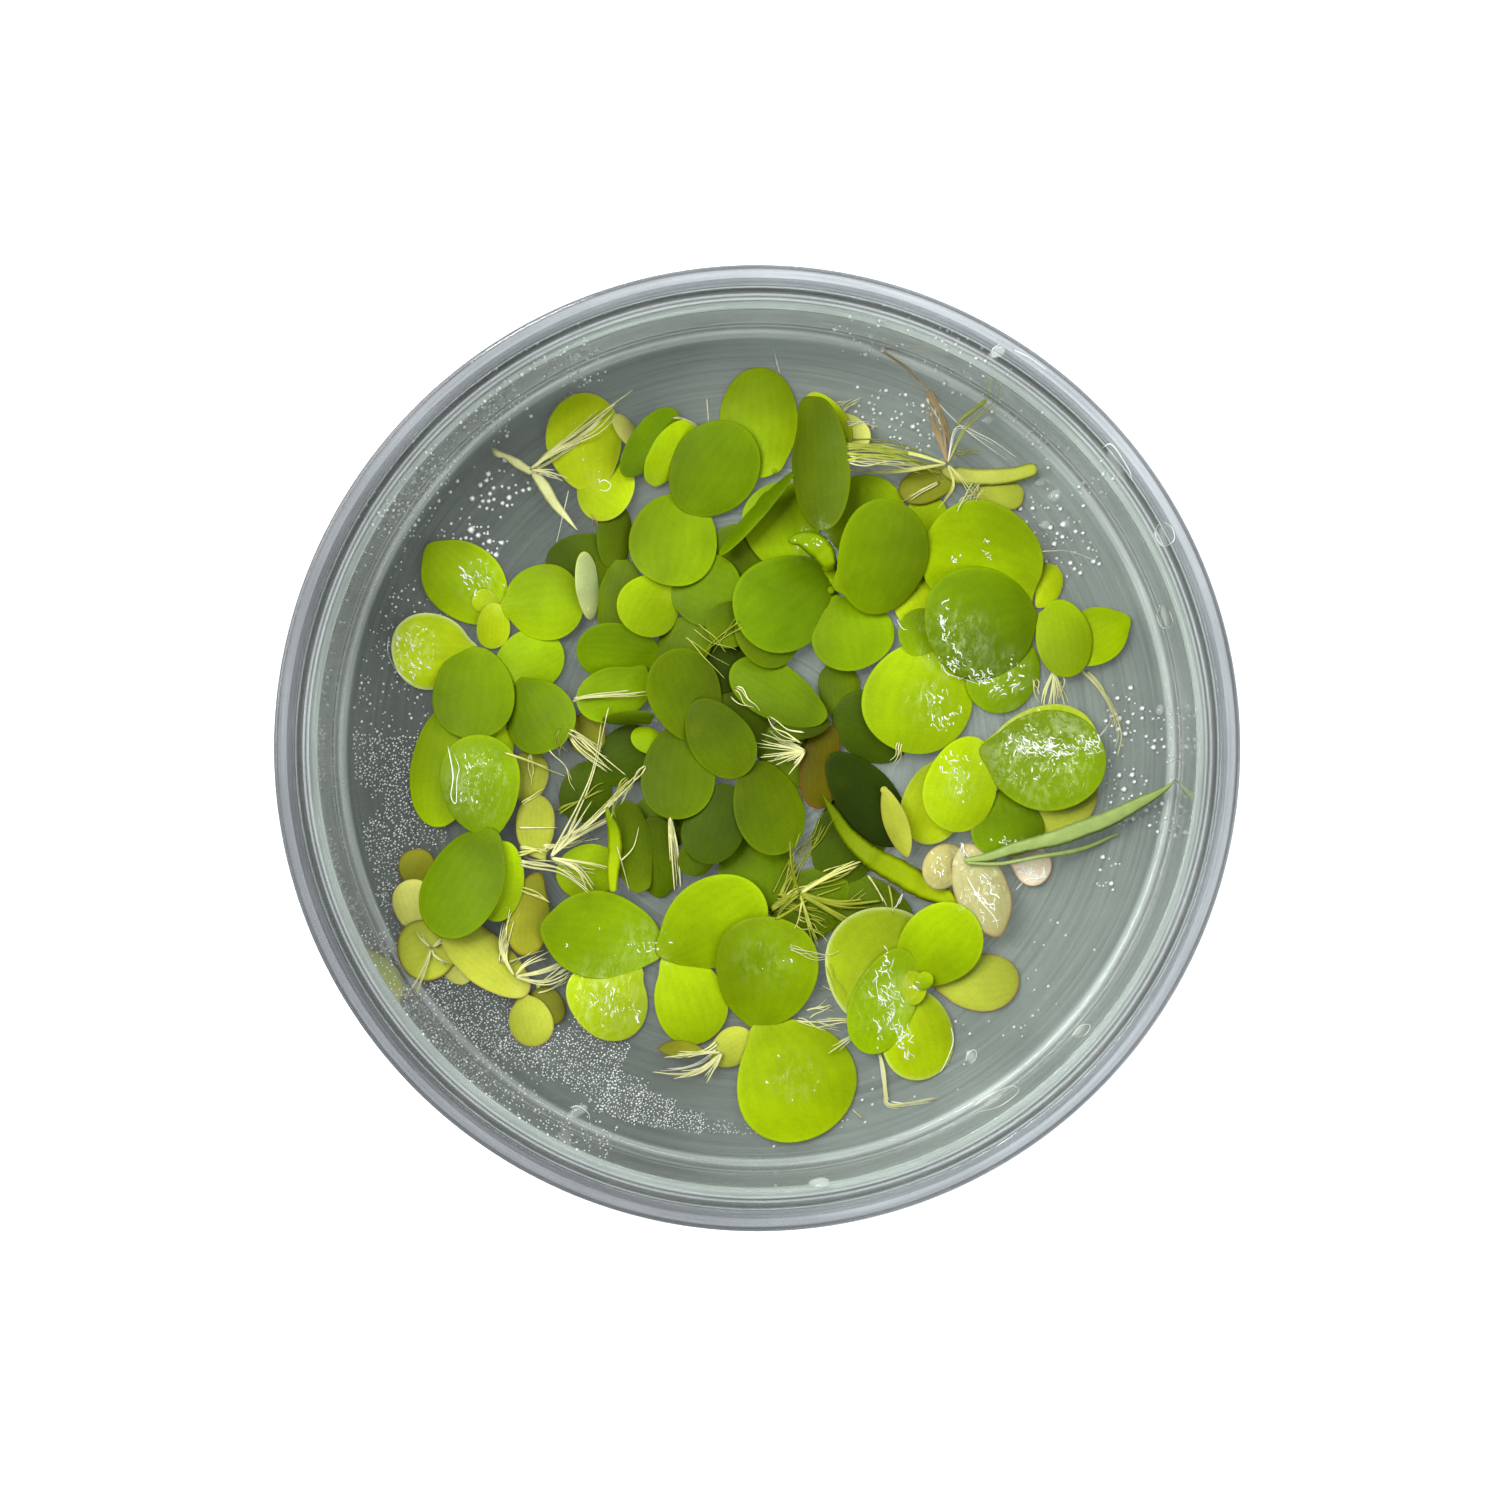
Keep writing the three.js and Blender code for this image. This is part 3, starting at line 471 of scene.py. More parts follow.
def tubShell():
    # A point is (radius cos turn, radius sin turn, height), for the profile's points and equal
    # turns. Its tone is the share of the rim's radius at which the camera sees it, whether it is
    # outside, and how far to the right it is, which sets how much painted light it gets.
    profile = tubProfile()
    turns = np.linspace(0, 2 * np.pi, tub["turns"], endpoint=False)
    radius, height, outside = profile[1:-1, None].transpose(2, 0, 1)
    flat = np.ones_like(turns)
    grid = np.stack([radius * np.cos(turns), radius * np.sin(turns), height * flat], -1)
    poles = np.array([(0, 0, profile[0, 1]), (0, 0, profile[-1, 1])])
    rimSeen = tub["rimRadius"] / (camera["height"] - tub["height"])
    seen = radius / (camera["height"] - height) / rimSeen
    top = np.arange(len(seen))[:, None] >= np.argmax(seen)
    slope = tub["paintedLightSlope"]
    reach = tub["rimRadius"] * np.hypot(1, slope)
    right = 0.5 + (grid[..., 0] + slope * grid[..., 1]) / (2 * reach)
    pile = Pile()
    pile.add(poles, grid[:, ::-1], np.stack([seen * top * flat, outside * flat, right], -1)[:, ::-1])
    return pile


def bandRamp(tree, seen):  # the inside's colour, with its painted highlight and shade lines, and as its alpha how little the painted light to the right lightens it
    node = tree.nodes.new("ShaderNodeValToRGB")
    stops = node.color_ramp.elements
    while len(stops) < len(tub["bands"]):
        stops.new(0.5)
    for stop, (place, name) in zip(stops, tub["bands"]):
        stop.position = place
    for stop, (place, name) in zip(stops, tub["bands"]):  # after all are in their order
        stop.color = tub["colours"][name]
    tree.links.new(seen, node.inputs["Fac"])
    return node.outputs


def streaked(tree, seen, look):  # noise that is long round the tub and narrow across its wall
    place = tree.nodes.new("ShaderNodeTexCoord")
    parts = tree.nodes.new("ShaderNodeSeparateXYZ")
    tree.links.new(place.outputs["Object"], parts.inputs["Vector"])
    joined = tree.nodes.new("ShaderNodeCombineXYZ")
    for axis in "XY":
        tree.links.new(worked(tree, "MULTIPLY", parts.outputs[axis], look["round"]), joined.inputs[axis])
    tree.links.new(worked(tree, "MULTIPLY", seen, look["across"]), joined.inputs["Z"])
    node = tree.nodes.new("ShaderNodeTexNoise")
    node.inputs["Scale"].default_value = 1
    node.inputs["Detail"].default_value = look["detail"]
    tree.links.new(joined.outputs["Vector"], node.inputs["Vector"])
    return stepped(tree, node.outputs["Fac"], *look["from"], *look["to"])


def smokePlastic():
    material, tree, inputs = newMaterial("smoke plastic")
    parts = tree.nodes.new("ShaderNodeSeparateColor")
    tree.links.new(attribute(tree, "tone")["Color"], parts.inputs["Color"])
    seen, outside, right = (parts.outputs[name] for name in ("Red", "Green", "Blue"))
    band = bandRamp(tree, seen)
    # painted light: the plastic's colour is made lighter towards its right, less in bands whose alpha holds
    # it back
    lighter = stepped(tree, right, *tub["paintedLightFrom"], 1, tub["paintedLightRight"])
    clear = worked(tree, "MULTIPLY", band["Alpha"], worked(tree, "SUBTRACT", 1.0, lighter))
    inside = scaled(tree, band["Color"], worked(tree, "ADD", lighter, clear))
    skin = tree.nodes.new("ShaderNodeRGB")
    skin.outputs[0].default_value = tub["colours"]["lip"]
    # painted light: the outer faces grow lighter to the right too
    outer = scaled(tree, skin.outputs[0], stepped(tree, right, *tub["paintedLightFrom"], 1, tub["outsidePaintedLight"]))
    colour = blended(tree, inside, outer, outside)
    pattern = worked(tree, "MULTIPLY", patchy(tree, tub["cloud"]), streaked(tree, seen, tub["streaks"]))
    tree.links.new(scaled(tree, colour, pattern), inputs["Base Color"])
    tree.links.new(patchy(tree, tub["rough"]), inputs["Roughness"])
    tree.links.new(grained(tree, tub["ripple"]), inputs["Normal"])
    setSockets(inputs, tub["sockets"])
    return material


tubPile = tubShell()
makePiece("clear_tub", tubPile, smokePlastic(), ["tub"])
tubTree = treeOf(*tubPile.mesh())
print("the tub is made")


# The fronds
frondForm = {
    "dome": 0.3,  # how far the middle of the top stands above the edge
    "belly": 0.2,  # how far the middle of the underside hangs below it
    "egg": 0.1,  # how much wider the tip half is than the base half
    "neck": 0.35,  # how far a drawn-out base runs past its crown
    "neckTurn": 0.18,  # how wide the neck is, in radians as seen from the middle
    "longest": 1.2,  # the most that a neck makes its side of the frond longer
    "slim": 6.0,  # the length under which a frond is thinner too
    "rim": 0.07,  # half of the thickness close to the edge
    "blunt": 10,  # how late the thickness closes towards the edge
    "wave": (0.05, 0.03),  # of the edge, up and down twice and three times round
    "uneven": 0.02,  # of the outline, as a share of its radius
    "spokes": 56,
    "top": (0.16, 0.32, 0.47, 0.6, 0.71, 0.8, 0.87, 0.925, 0.965, 0.99),
    "under": (0.98, 0.92, 0.8, 0.6, 0.35),
    "blade": 0.14,  # half of the thickness of a strip
    "pointTurn": 0.25,  # how wide the point at a tip is, in radians
    "rimFrom": 0.9,  # the share of the outline where the rim's colour starts
    "spot": 0.35,  # how strong the light spot at the crown is
    "spotSize": 0.8,
    "varied": 0.045,  # how much fronds differ in brightness
    "redder": 0.02,  # and in how red they are
    "gradient": 0.23,  # how much the colour changes from one side to the other, partly the frond's own tone and partly painted shade
    "gain": 0.6,  # from a colour in the photograph to the surface's own colour
    "bladeStep": 3,  # along a strip, in pixels
    "ragged": 0.05,  # how much a strip's width steps in and out
    "narrowest": 0.5,  # of a strip, against its thickness
    "bud": (0.4, 0.4, 0.2),  # the knot at a crown: half of its size along each axis
    "budRise": (60, 30, 0, -35),  # of its rings, in degrees
    "budSides": 10,
    "budSunk": 0.1,
}
cadFrond = {  # how the CAD's fronds are cut, and how closely their planes are found
    "long": 7.5,  # the length above which an outline has the larger number of sides
    "sides": (8, 10),
    "near": 0.04,
    "miss": 0.02,
    "fits": 4,
    "fewest": 5,  # corners that are left
}
frondFinish = {
    "veins": 24.0,  # from side to side, as the angle of a sine
    "veinTone": (0.977, 1.023),
    "veinRelief": {"strength": 0.08, "depth": 0.03},
    "blotch": {"scale": 260, "detail": 4, "to": (0.88, 1.12)},
    "cells": {"scale": 4200, "detail": 2, "to": (0.94, 1.06)},
    "cellRelief": {"scale": 3600, "detail": 2, "strength": 0.35, "depth": 0.03},
    # painted sheen: pale flecks where the fronds are wet, standing for the glints of their water
    "paintedSheen": {"scale": 1500, "detail": 5, "stretch": (1, 0.5, 1), "from": (0.5, 0.66), "to": (0, 0.26)},
    "paintedSheenTone": (0.5, 0.62, 0.22, 1),
    "rough": {"scale": 600, "detail": 2, "to": (0.42, 0.56)},
    "film": {"scale": 420, "detail": 3, "stretch": (1, 0.55, 1), "from": (0.46, 0.58), "to": (0, 1)},
    "filmRipple": {"scale": 900, "detail": 2, "share": 0.8},
    "filmRelief": {"strength": 1.0, "depth": 0.22},
    "sockets": {"Coat Roughness": 0.05, "Coat IOR": 1.33, "IOR": 1.38, "Specular IOR Level": 0.07},
}
tones = {  # the colour of the middle, of the rim and of the spot at the crown. The greens' lighter rims are partly a painted highlight along the edge, and dusk, shade and gloom are partly painted shade for fronds that lie in shade
    "sunny": ((183, 207, 20), (196, 214, 60), (206, 220, 90)),
    "bright": ((160, 191, 4), (172, 200, 24), (186, 208, 60)),
    "fresh": ((147, 179, 3), (160, 188, 16), (176, 200, 50)),
    "leaf": ((130, 162, 2), (142, 172, 8), (160, 186, 36)),
    "deep": ((110, 141, 1), (122, 152, 4), (140, 166, 20)),
    "dusk": ((91, 113, 1), (102, 124, 2), (118, 138, 14)),
    "shade": ((68, 88, 1), (76, 96, 2), (90, 108, 8)),
    "gloom": ((44, 60, 1), (50, 66, 1), (60, 76, 4)),
    "olive": ((146, 150, 42), (126, 108, 34), (176, 178, 90)),
    "straw": ((188, 199, 68), (186, 176, 84), (206, 212, 110)),
    "pale": ((214, 218, 108), (208, 208, 110), (226, 228, 140)),
    "cream": ((204, 198, 134), (176, 146, 98), (226, 222, 176)),
    "ivory": ((222, 225, 156), (222, 225, 156), (222, 225, 156)),
    "runner": ((168, 192, 104), (186, 204, 130), (186, 204, 130)),
    "brown": ((94, 88, 8), (122, 74, 22), (140, 128, 60)),
}
plants = {  # crown, then fronds: middle, length, width, heading in degrees, and tone
    "bed_left": {"crown": (-16, -2.3), "fronds": [
        (-16.9, -4.3, 6.2, 5.1, 262, "shade"),
        (-13.1, -0.8, 7.4, 5.6, 25, "shade"),
        (-16.8, 1.3, 4.3, 3.9, 110, "olive"),
    ]},
    "bed_lower_left": {"crown": (-14.1, -10.7), "fronds": [
        (-16.6, -12.1, 6.4, 5.4, 205, "fresh"),
        (-10.2, -7.8, 8.6, 6, 35, "dusk"),
    ]},
    "bed_centre": {"crown": (0.8, 0.3), "fronds": [
        (3.8, -0.4, 7.8, 6.8, 345, "dusk"),
        (-2.1, 4.7, 8.9, 6.8, 120, "shade"),
    ]},
    "bed_upper": {"crown": (-1.5, 15.6), "fronds": [
        (-1.8, 18.7, 7, 6, 95, "dusk"),
        (-3.4, 10.5, 10.1, 7.4, 255, "shade"),
    ]},
    "bed_lower": {"crown": (7.9, -12.4), "fronds": [
        (11.2, -16.9, 10.3, 7.6, 308, "dusk"),
        (5.3, -15.3, 8.6, 6.6, 225, "dusk"),
        (9, -9.1, 7.8, 6, 70, "shade"),
    ]},
    "left_edge_pair": {"crown": (-29.4, 3.5), "fronds": [
        (-31, -1.7, 11.9, 6.4, 262, "fresh"),
        (-26.5, 0.6, 5.6, 4.7, 300, "bright"),
    ]},
    "lower_left_upturned": {"crown": (-32, -19.4), "fronds": [
        (-33.6, -11.8, 3.9, 3.5, 95, "olive"),
        (-33.7, -15.5, 5.4, 4.3, 110, "pale"),
        (-29.8, -21.6, 3.9, 2.7, 310, "pale"),
        (-32.4, -19.8, 6.6, 6.2, 195, "straw"),
    ]},
    "lower_left_chain": {"crown": (-23.4, -23.5), "fronds": [
        (-20.6, -25.3, 4.1, 3.1, 300, "olive"),
        (-26.6, -20.8, 10.3, 4.9, 140, "straw"),
        (-22.3, -26.9, 5.2, 4.3, 280, "straw"),
    ]},
    "root_fan": {"crown": (-21.1, -10.7), "fronds": [
        (-22.4, -16.5, 7.8, 4.3, 268, "olive"),
        (-22.6, -2.8, 5.1, 4.1, 85, "straw"),
        (-21.8, -7.6, 6, 3.9, 88, "straw"),
    ]},
    "upper_left_shaded": {"crown": (-14.1, 18.3), "fronds": [
        (-16.7, 18.3, 8.4, 5.8, 185, "dusk"),
        (-14.1, 20.9, 6.4, 3.5, 85, "dusk"),
        (-13.5, 14.6, 8.2, 4.5, 262, "dusk"),
    ]},
    "left_shaded": {"crown": (-9.9, 9), "fronds": [
        (-13.7, 9.5, 8.2, 5.6, 175, "deep"),
        (-14, 5.4, 7.8, 5.2, 200, "leaf"),
        (-7.3, 10, 6, 5.2, 60, "dusk"),
    ]},
    "lower_shaded": {"crown": (-11, -13.6), "fronds": [
        (-9.9, -10.7, 8.2, 4.5, 95, "dusk"),
        (-12.3, -9.7, 9.3, 3.9, 100, "dusk"),
    ]},
    "centre_lower": {"crown": (-1.8, -4.3), "fronds": [
        (0, -12.1, 8.6, 7.8, 270, "deep"),
        (-5.8, -10.5, 4.3, 3.5, 240, "dusk"),
        (-4.1, -7.4, 8.2, 6, 250, "shade"),
        (1.1, -5.8, 9.5, 6.8, 285, "dusk"),
    ]},
    "top_shaded": {"crown": (4.2, 18.3), "fronds": [
        (2.5, 21.9, 8.9, 7.6, 110, "fresh"),
    ]},
    "upper_right_shaded": {"crown": (12.4, 20.2), "fronds": [
        (10.7, 22.6, 9.1, 8.2, 110, "fresh"),
        (16.3, 22.5, 5.4, 4.1, 40, "bright"),
    ]},
    "right_shaded": {"crown": (7.9, 2.5), "fronds": [
        (6.3, -1.9, 8, 4.3, 264, "brown"),
        (8.1, 5.8, 5.6, 4.1, 92, "dusk"),
        (11.4, 2.3, 8.2, 7.2, 340, "shade"),
    ]},
    "arc_shaded": {"crown": (8.3, -3.3), "fronds": [
        (10.8, -4.9, 10.3, 5.2, 310, "gloom"),
    ]},
    "green_arc": {"crown": (11.4, -10.5), "fronds": [
        (8.7, -7.4, 8.9, 2.5, 129, "dusk"),
        (15.1, -13.1, 10.3, 3.1, 327, "sunny"),
    ]},
    "right_upturned": {"crown": (19.9, -10.5), "fronds": [
        (27.1, -11.5, 4.1, 3.9, 340, "cream"),
        (18.3, -11.5, 4.9, 3.9, 230, "cream"),
        (21.9, -13.6, 8.9, 5.4, 290, "cream"),
    ]},
    "upper_right_upturned": {"crown": (18.3, 27.2), "fronds": [
        (16.8, 26, 6, 3.5, 200, "olive"),
        (24, 25.1, 4.7, 2.9, 350, "straw"),
        (22.6, 27.4, 10.1, 1.9, 3, "straw"),
    ]},
    "left_inner_pair": {"crown": (-23.8, 7.4), "fronds": [
        (-22.5, 8.6, 7, 6.2, 20, "fresh"),
        (-21.4, 3.2, 7.4, 7, 300, "deep"),
    ]},
    "left_rosette": {"crown": (-25.3, 13.8), "fronds": [
        (-28.7, 16.3, 9.5, 7.4, 135, "bright"),
        (-21, 14.4, 7.8, 7.6, 5, "fresh"),
        (-26.8, 14.5, 2.7, 2.3, 160, "sunny"),
        (-26, 12.1, 4.5, 3.3, 268, "sunny"),
    ]},
    "left_pair": {"crown": (-27.5, 9.7), "fronds": [
        (-32.1, 9.6, 8, 7.6, 180, "sunny"),
        (-27.9, 5.5, 9.1, 8.2, 265, "leaf"),
    ]},
    "lower_left_rosette": {"crown": (-25.8, -8.2), "fronds": [
        (-25.1, -13, 8, 4.5, 262, "bright"),
        (-27.1, -3.5, 9.7, 8, 98, "leaf"),
        (-28.6, -13.2, 11.1, 7.8, 240, "deep"),
    ]},
    "upper_left_pair": {"crown": (-16, 26.4), "fronds": [
        (-15, 25.5, 5.6, 6.2, 320, "sunny"),
        (-17, 30.2, 9.9, 7.4, 98, "sunny"),
    ]},
    "upper_slivers": {"crown": (-10.2, 26.2), "fronds": [
        (-12.6, 31, 4.9, 1.9, 128, "pale"),
        (-10.6, 30.1, 8.2, 3.7, 52, "deep"),
        (-8.5, 29.1, 7.4, 3.9, 55, "bright"),
    ]},
    "upper_low_pair": {"crown": (-8.7, 15.2), "fronds": [
        (-10.6, 14.1, 6.4, 6, 240, "fresh"),
        (-5.2, 15.7, 7.4, 7.2, 350, "deep"),
    ]},
    "top_left_frond": {"crown": (1.7, 27.4), "fronds": [
        (0, 23, 10.9, 1.6, 228, "deep"),
        (0.2, 32.1, 11.1, 7.6, 93, "fresh"),
    ]},
    "top_pair": {"crown": (4.8, 34), "fronds": [
        (9, 31.2, 4.7, 3.3, 325, "pale"),
        (6.9, 32.2, 6.8, 3.7, 302, "sunny"),
        (6.2, 27.6, 13.2, 5.5, 272, "dusk"),
    ]},
    "upper_centre_pair": {"crown": (-6.5, 23.8), "fronds": [
        (-8.2, 20.6, 9.5, 8.6, 262, "leaf"),
        (-4.3, 27.4, 10.3, 8.4, 55, "deep"),
    ]},
    "centre_rosette": {"crown": (-6.1, 1.7), "fronds": [
        (-12.6, 3, 5.1, 1.4, 5, "dusk"),
        (-10.6, 0.7, 3.9, 2.5, 150, "leaf"),
        (-7.7, -2.3, 9.3, 7.4, 265, "dusk"),
        (-7, 5.2, 9.3, 7.2, 110, "dusk"),
        (-3.7, 1, 8.9, 6, 305, "dusk"),
    ]},
    "centre_right_pair": {"crown": (6.5, 3.1), "fronds": [
        (4.4, 2.1, 5.6, 2.5, 190, "shade"),
        (1.9, 5.5, 10.1, 5.6, 148, "deep"),
    ]},
    "right_inner": {"crown": (17.3, 10), "fronds": [
        (16, 14.3, 7.4, 5.1, 110, "sunny"),
        (15.9, 5, 11.1, 10.9, 258, "bright"),
        (16.3, 11.3, 5.1, 4.7, 90, "leaf"),
    ]},
    "right_rosette": {"crown": (27.3, 13.2), "fronds": [
        (33, 10.9, 7.6, 5.4, 28, "bright"),
        (28.7, 16.1, 4.3, 2.9, 78, "sunny"),
        (22.2, 18.7, 11.9, 10.9, 165, "bright"),
        (24.4, 7.3, 8, 6.8, 235, "leaf"),
        (30.2, 10.9, 7.8, 5.4, 280, "fresh"),
        (22, 12.4, 11.1, 11.1, 195, "deep"),
    ]},
    "centre_top_rosette": {"crown": (7.3, 15.6), "fronds": [
        (-2.5, 12.2, 5.1, 4.5, 200, "dusk"),
        (1.1, 11.2, 6.2, 6.6, 230, "dusk"),
        (2.9, 14.4, 10.9, 9.3, 215, "deep"),
        (9.4, 11.3, 7.2, 8.2, 280, "leaf"),
        (5.6, 20.1, 3.3, 2.9, 120, "fresh"),
        (7.4, 18.6, 3.3, 2.1, 100, "fresh"),
        (12.2, 18.6, 11.1, 8.9, 72, "leaf"),
    ]},
    "right_low_rosette": {"crown": (22.2, -0.2), "fronds": [
        (17.7, -5.1, 9.1, 6.4, 240, "sunny"),
        (28.7, -4.1, 10.1, 8.6, 345, "straw"),
        (24.6, -7.6, 6.2, 7.2, 275, "deep"),
        (28.2, -0.4, 11.5, 9.1, 10, "sunny"),
        (20.1, -3.5, 9.9, 7, 250, "bright"),
        (28.4, -1.2, 11.9, 9.7, 5, "leaf"),
    ]},
    "bottom_rosette": {"crown": (-9.6, -20.1), "fronds": [
        (-14.6, -24.7, 7.4, 8.6, 230, "sunny"),
        (-6.6, -24.9, 8.7, 7.2, 290, "bright"),
        (-15.1, -18.4, 11.5, 8.4, 172, "leaf"),
        (-4.3, -17.2, 11.1, 8.9, 35, "fresh"),
    ]},
    "bottom_scraps": {"crown": (-4.4, -29.5), "fronds": [
        (-7.5, -29.6, 4.5, 1.6, 178, "olive"),
        (-2.5, -29.5, 4.9, 3.7, 30, "straw"),
    ]},
    "bottom_pair": {"crown": (-0.1, -27.4), "fronds": [
        (3.7, -32.7, 11.9, 12.2, 300, "bright"),
        (0.9, -21.9, 10.9, 10.3, 80, "leaf"),
    ]},
    "lower_right_rosette": {"crown": (14.2, -23.3), "fronds": [
        (22, -23.1, 8, 5.6, 2, "straw"),
        (11.8, -21.1, 12.1, 9.1, 55, "leaf"),
        (15.7, -28.1, 9.5, 7.2, 285, "sunny"),
        (17.8, -19.4, 9.5, 7.6, 45, "bright"),
        (12.5, -24.8, 10.9, 6.4, 250, "bright"),
        (15.2, -23.5, 3.5, 2.9, 100, "sunny"),
        (16.4, -22.8, 1.9, 1.6, 50, "bright"),
    ]},
    "cream_sliver": {"crown": (12.5, -4.1), "fronds": [
        (13.6, -7.2, 7.4, 2.3, 288, "straw"),
    ]},
    "standing_y": {"crown": (-22.3, 27.3), "fronds": [
        (-24.2, 28.4, 5.4, 1.4, 152, "pale"),
        (-20, 24.4, 7.4, 1.4, 312, "pale"),
    ]},
    "standing_strip": {"crown": (-14.3, -14.6), "fronds": [
        (-14, -9.9, 10.1, 1.7, 88, "fresh"),
    ]},
    "pale_sliver": {"crown": (-16.8, 13.8), "fronds": [
        (-16.7, 16, 5.1, 1.6, 95, "pale"),
    ]},
}
# What single fronds show: (plant, number of the frond). Dome is how high the middle stands, lens
# how pointed the ends are, or how blunt below 0, point a point at the tip, bend a bend to the left,
# grow a factor on the size, lighter one on the colour, and tone and rimTone are colours of its own.
# Lighter is partly painted light and shade: it brightens fronds that the tub's wall shades and
# darkens fronds that lie in shade. A pale rimTone is a painted highlight on a wet edge.
touches = {
    ("right_rosette", 5): {"dome": 0.8},
    ("right_low_rosette", 5): {"dome": 0.7},
    ("right_inner", 1): {"dome": 0.55},
    ("bottom_pair", 0): {"dome": 0.5},
    ("bottom_pair", 1): {"dome": 0.5},
    ("centre_top_rosette", 6): {"dome": 0.5, "lighter": 0.8},
    ("left_rosette", 0): {"point": 0.12},
    ("bottom_rosette", 2): {"point": 0.1},
    ("right_rosette", 0): {"point": 0.16},
    ("right_upturned", 2): {"point": 0.16},
    # painted highlights: the pale rimTone here, on the next frond and on left_pair 0 stands for the glint
    # of a wet edge
    ("lower_right_rosette", 1): {"bend": 0.12, "tone": (156, 178, 30), "rimTone": (200, 212, 128)},
    ("lower_right_rosette", 2): {"rimTone": (204, 220, 96)},
    ("lower_right_rosette", 0): {"rimTone": (190, 168, 84)},
    ("left_pair", 0): {"rimTone": (214, 226, 150)},
    ("right_upturned", 0): {"lighter": 1.25, "tone": (222, 206, 178)},
    ("right_upturned", 1): {"tone": (206, 196, 120)},
    # painted light: these two lie in the shade of the tub's wall and are made lighter
    ("lower_left_upturned", 3): {"grow": 0.96, "lighter": 1.3, "rimTone": (150, 124, 50)},
    ("lower_left_upturned", 1): {"lighter": 1.3},
    ("upper_right_upturned", 1): {"lens": -0.3},
    ("pale_sliver", 0): {"grow": 1.35, "tone": (186, 200, 130)},
    ("left_pair", 1): {"lighter": 0.84},
    ("lower_left_rosette", 1): {"lighter": 0.88},
    ("bottom_rosette", 0): {"lighter": 0.88},
    ("centre_lower", 0): {"lighter": 0.82},
    ("centre_right_pair", 1): {"lighter": 0.84},
    ("bed_upper", 1): {"lighter": 0.6},
    ("bed_lower", 2): {"grow": 1.2},
    ("arc_shaded", 0): {"grow": 1.1},
    ("upper_left_shaded", 0): {"lighter": 0.74},
    ("upper_left_shaded", 1): {"lighter": 0.74},
    ("lower_shaded", 0): {"lighter": 0.82},
    ("lower_left_chain", 0): {"lighter": 0.74},
    ("root_fan", 1): {"lighter": 0.62},
    ("root_fan", 2): {"lighter": 0.85},
    ("upper_slivers", 0): {"lighter": 0.78},
    ("top_pair", 0): {"lighter": 1.25},
    ("cream_sliver", 0): {"lens": 0.4},
    ("bottom_scraps", 0): {"lens": 0.5},
}
blades = {  # strips that take the place of some fronds or strands: places and half widths, in pixels
    "green_arc": {"instead": (0, 1), "tones": ("dusk", "sunny"), "strips": [
        [(822, 793, 0), (833, 811, 4.5), (849, 836, 8), (873, 858, 11), (900, 873, 13), (927, 889, 12),
         (950, 899, 8), (960, 905, 0)],
    ]},
    "upper_right_upturned": {"instead": (2,), "tones": ("pale", "straw"), "lighter": 1.1, "strips": [
        [(944, 466, 3), (960, 471, 8), (985, 473, 9), (1015, 471, 8), (1036, 466, 7), (1041, 466, 2)],
    ]},
    "standing_y": {"instead": (0, 1), "tones": ("ivory", "ivory"), "lighter": 1.15, "strips": [
        [(488, 443, 1), (494, 450, 3.5), (502, 452, 3), (515, 460, 5), (531, 470, 3.5)],
        [(576, 528, 0), (564, 514, 3), (552, 500, 5), (541, 482, 6), (529, 466, 3)],
    ]},
    "centre_top_rosette": {"instead": (4, 5), "tones": ("leaf", "bright"), "strips": [
        [(788, 542, 2), (799, 539, 7), (811, 542, 11), (821, 549, 12), (828, 560, 9), (832, 572, 6),
         (834, 584, 1.5)],
    ]},
    "standing_strip": {"instead": (0,), "tones": ("leaf", "sunny"), "strips": [
        [(606, 800, 0), (608, 815, 3), (613, 830, 6), (614, 850, 7), (612, 872, 6), (612, 894, 3)],
    ]},
    "right_runner": {"tones": ("runner", "runner"), "strips": [
        [(964, 861, 2), (990, 857, 4.5), (1015, 849, 6), (1040, 843, 7), (1060, 838, 8.5), (1085, 829, 9),
         (1110, 820, 8.5), (1140, 805, 6.5), (1168, 790, 3), (1181, 779, 0)],
        [(966, 863, 1.5), (1000, 864, 2), (1040, 857, 2), (1085, 850, 2.5), (1125, 834, 1)],
    ]},
}
wetPlaces = [  # where water lies on a frond: its place and size in pixels, and how wet
    (478, 784, 34, 0.45),
    (410, 650, 26, 0.7),
    (600, 1002, 40, 0.8),
    (1049, 752, 52, 1.0),
    (958, 640, 36, 0.9),
    (1008, 673, 26, 0.6),
    (886, 1003, 34, 0.7),
    (640, 950, 30, 0.5),
    (945, 866, 30, 0.9),
    (1030, 866, 26, 1.0),
    (982, 888, 30, 0.9),
    (930, 700, 22, 0.6),
    (766, 960, 30, 0.35),
    (795, 1080, 26, 0.35),
    (478, 580, 24, 0.5),
    (815, 541, 20, 0.6),
    (960, 784, 18, 0.5),
]


def frondOutline(frond, turns, lens=0.0):
    # From the middle: half the length times cos turn ahead, and half the width times sin turn to
    # the left, which the egg makes wider towards the tip. The lens, as a further power of sin
    # turn, draws both ends out to points, or makes them blunt if it is below 0.
    length, width, heading = frond[2:5]
    ahead = np.array([np.cos(np.radians(heading)), np.sin(np.radians(heading))])
    left = np.array([-ahead[1], ahead[0]])
    along = length / 2 * np.cos(turns)
    across = width / 2 * np.sin(turns) * (1 + frondForm["egg"] * np.cos(turns))
    across = across * np.maximum(np.abs(np.sin(turns)), 1e-3) ** lens
    return along[:, None] * ahead + across[:, None] * left


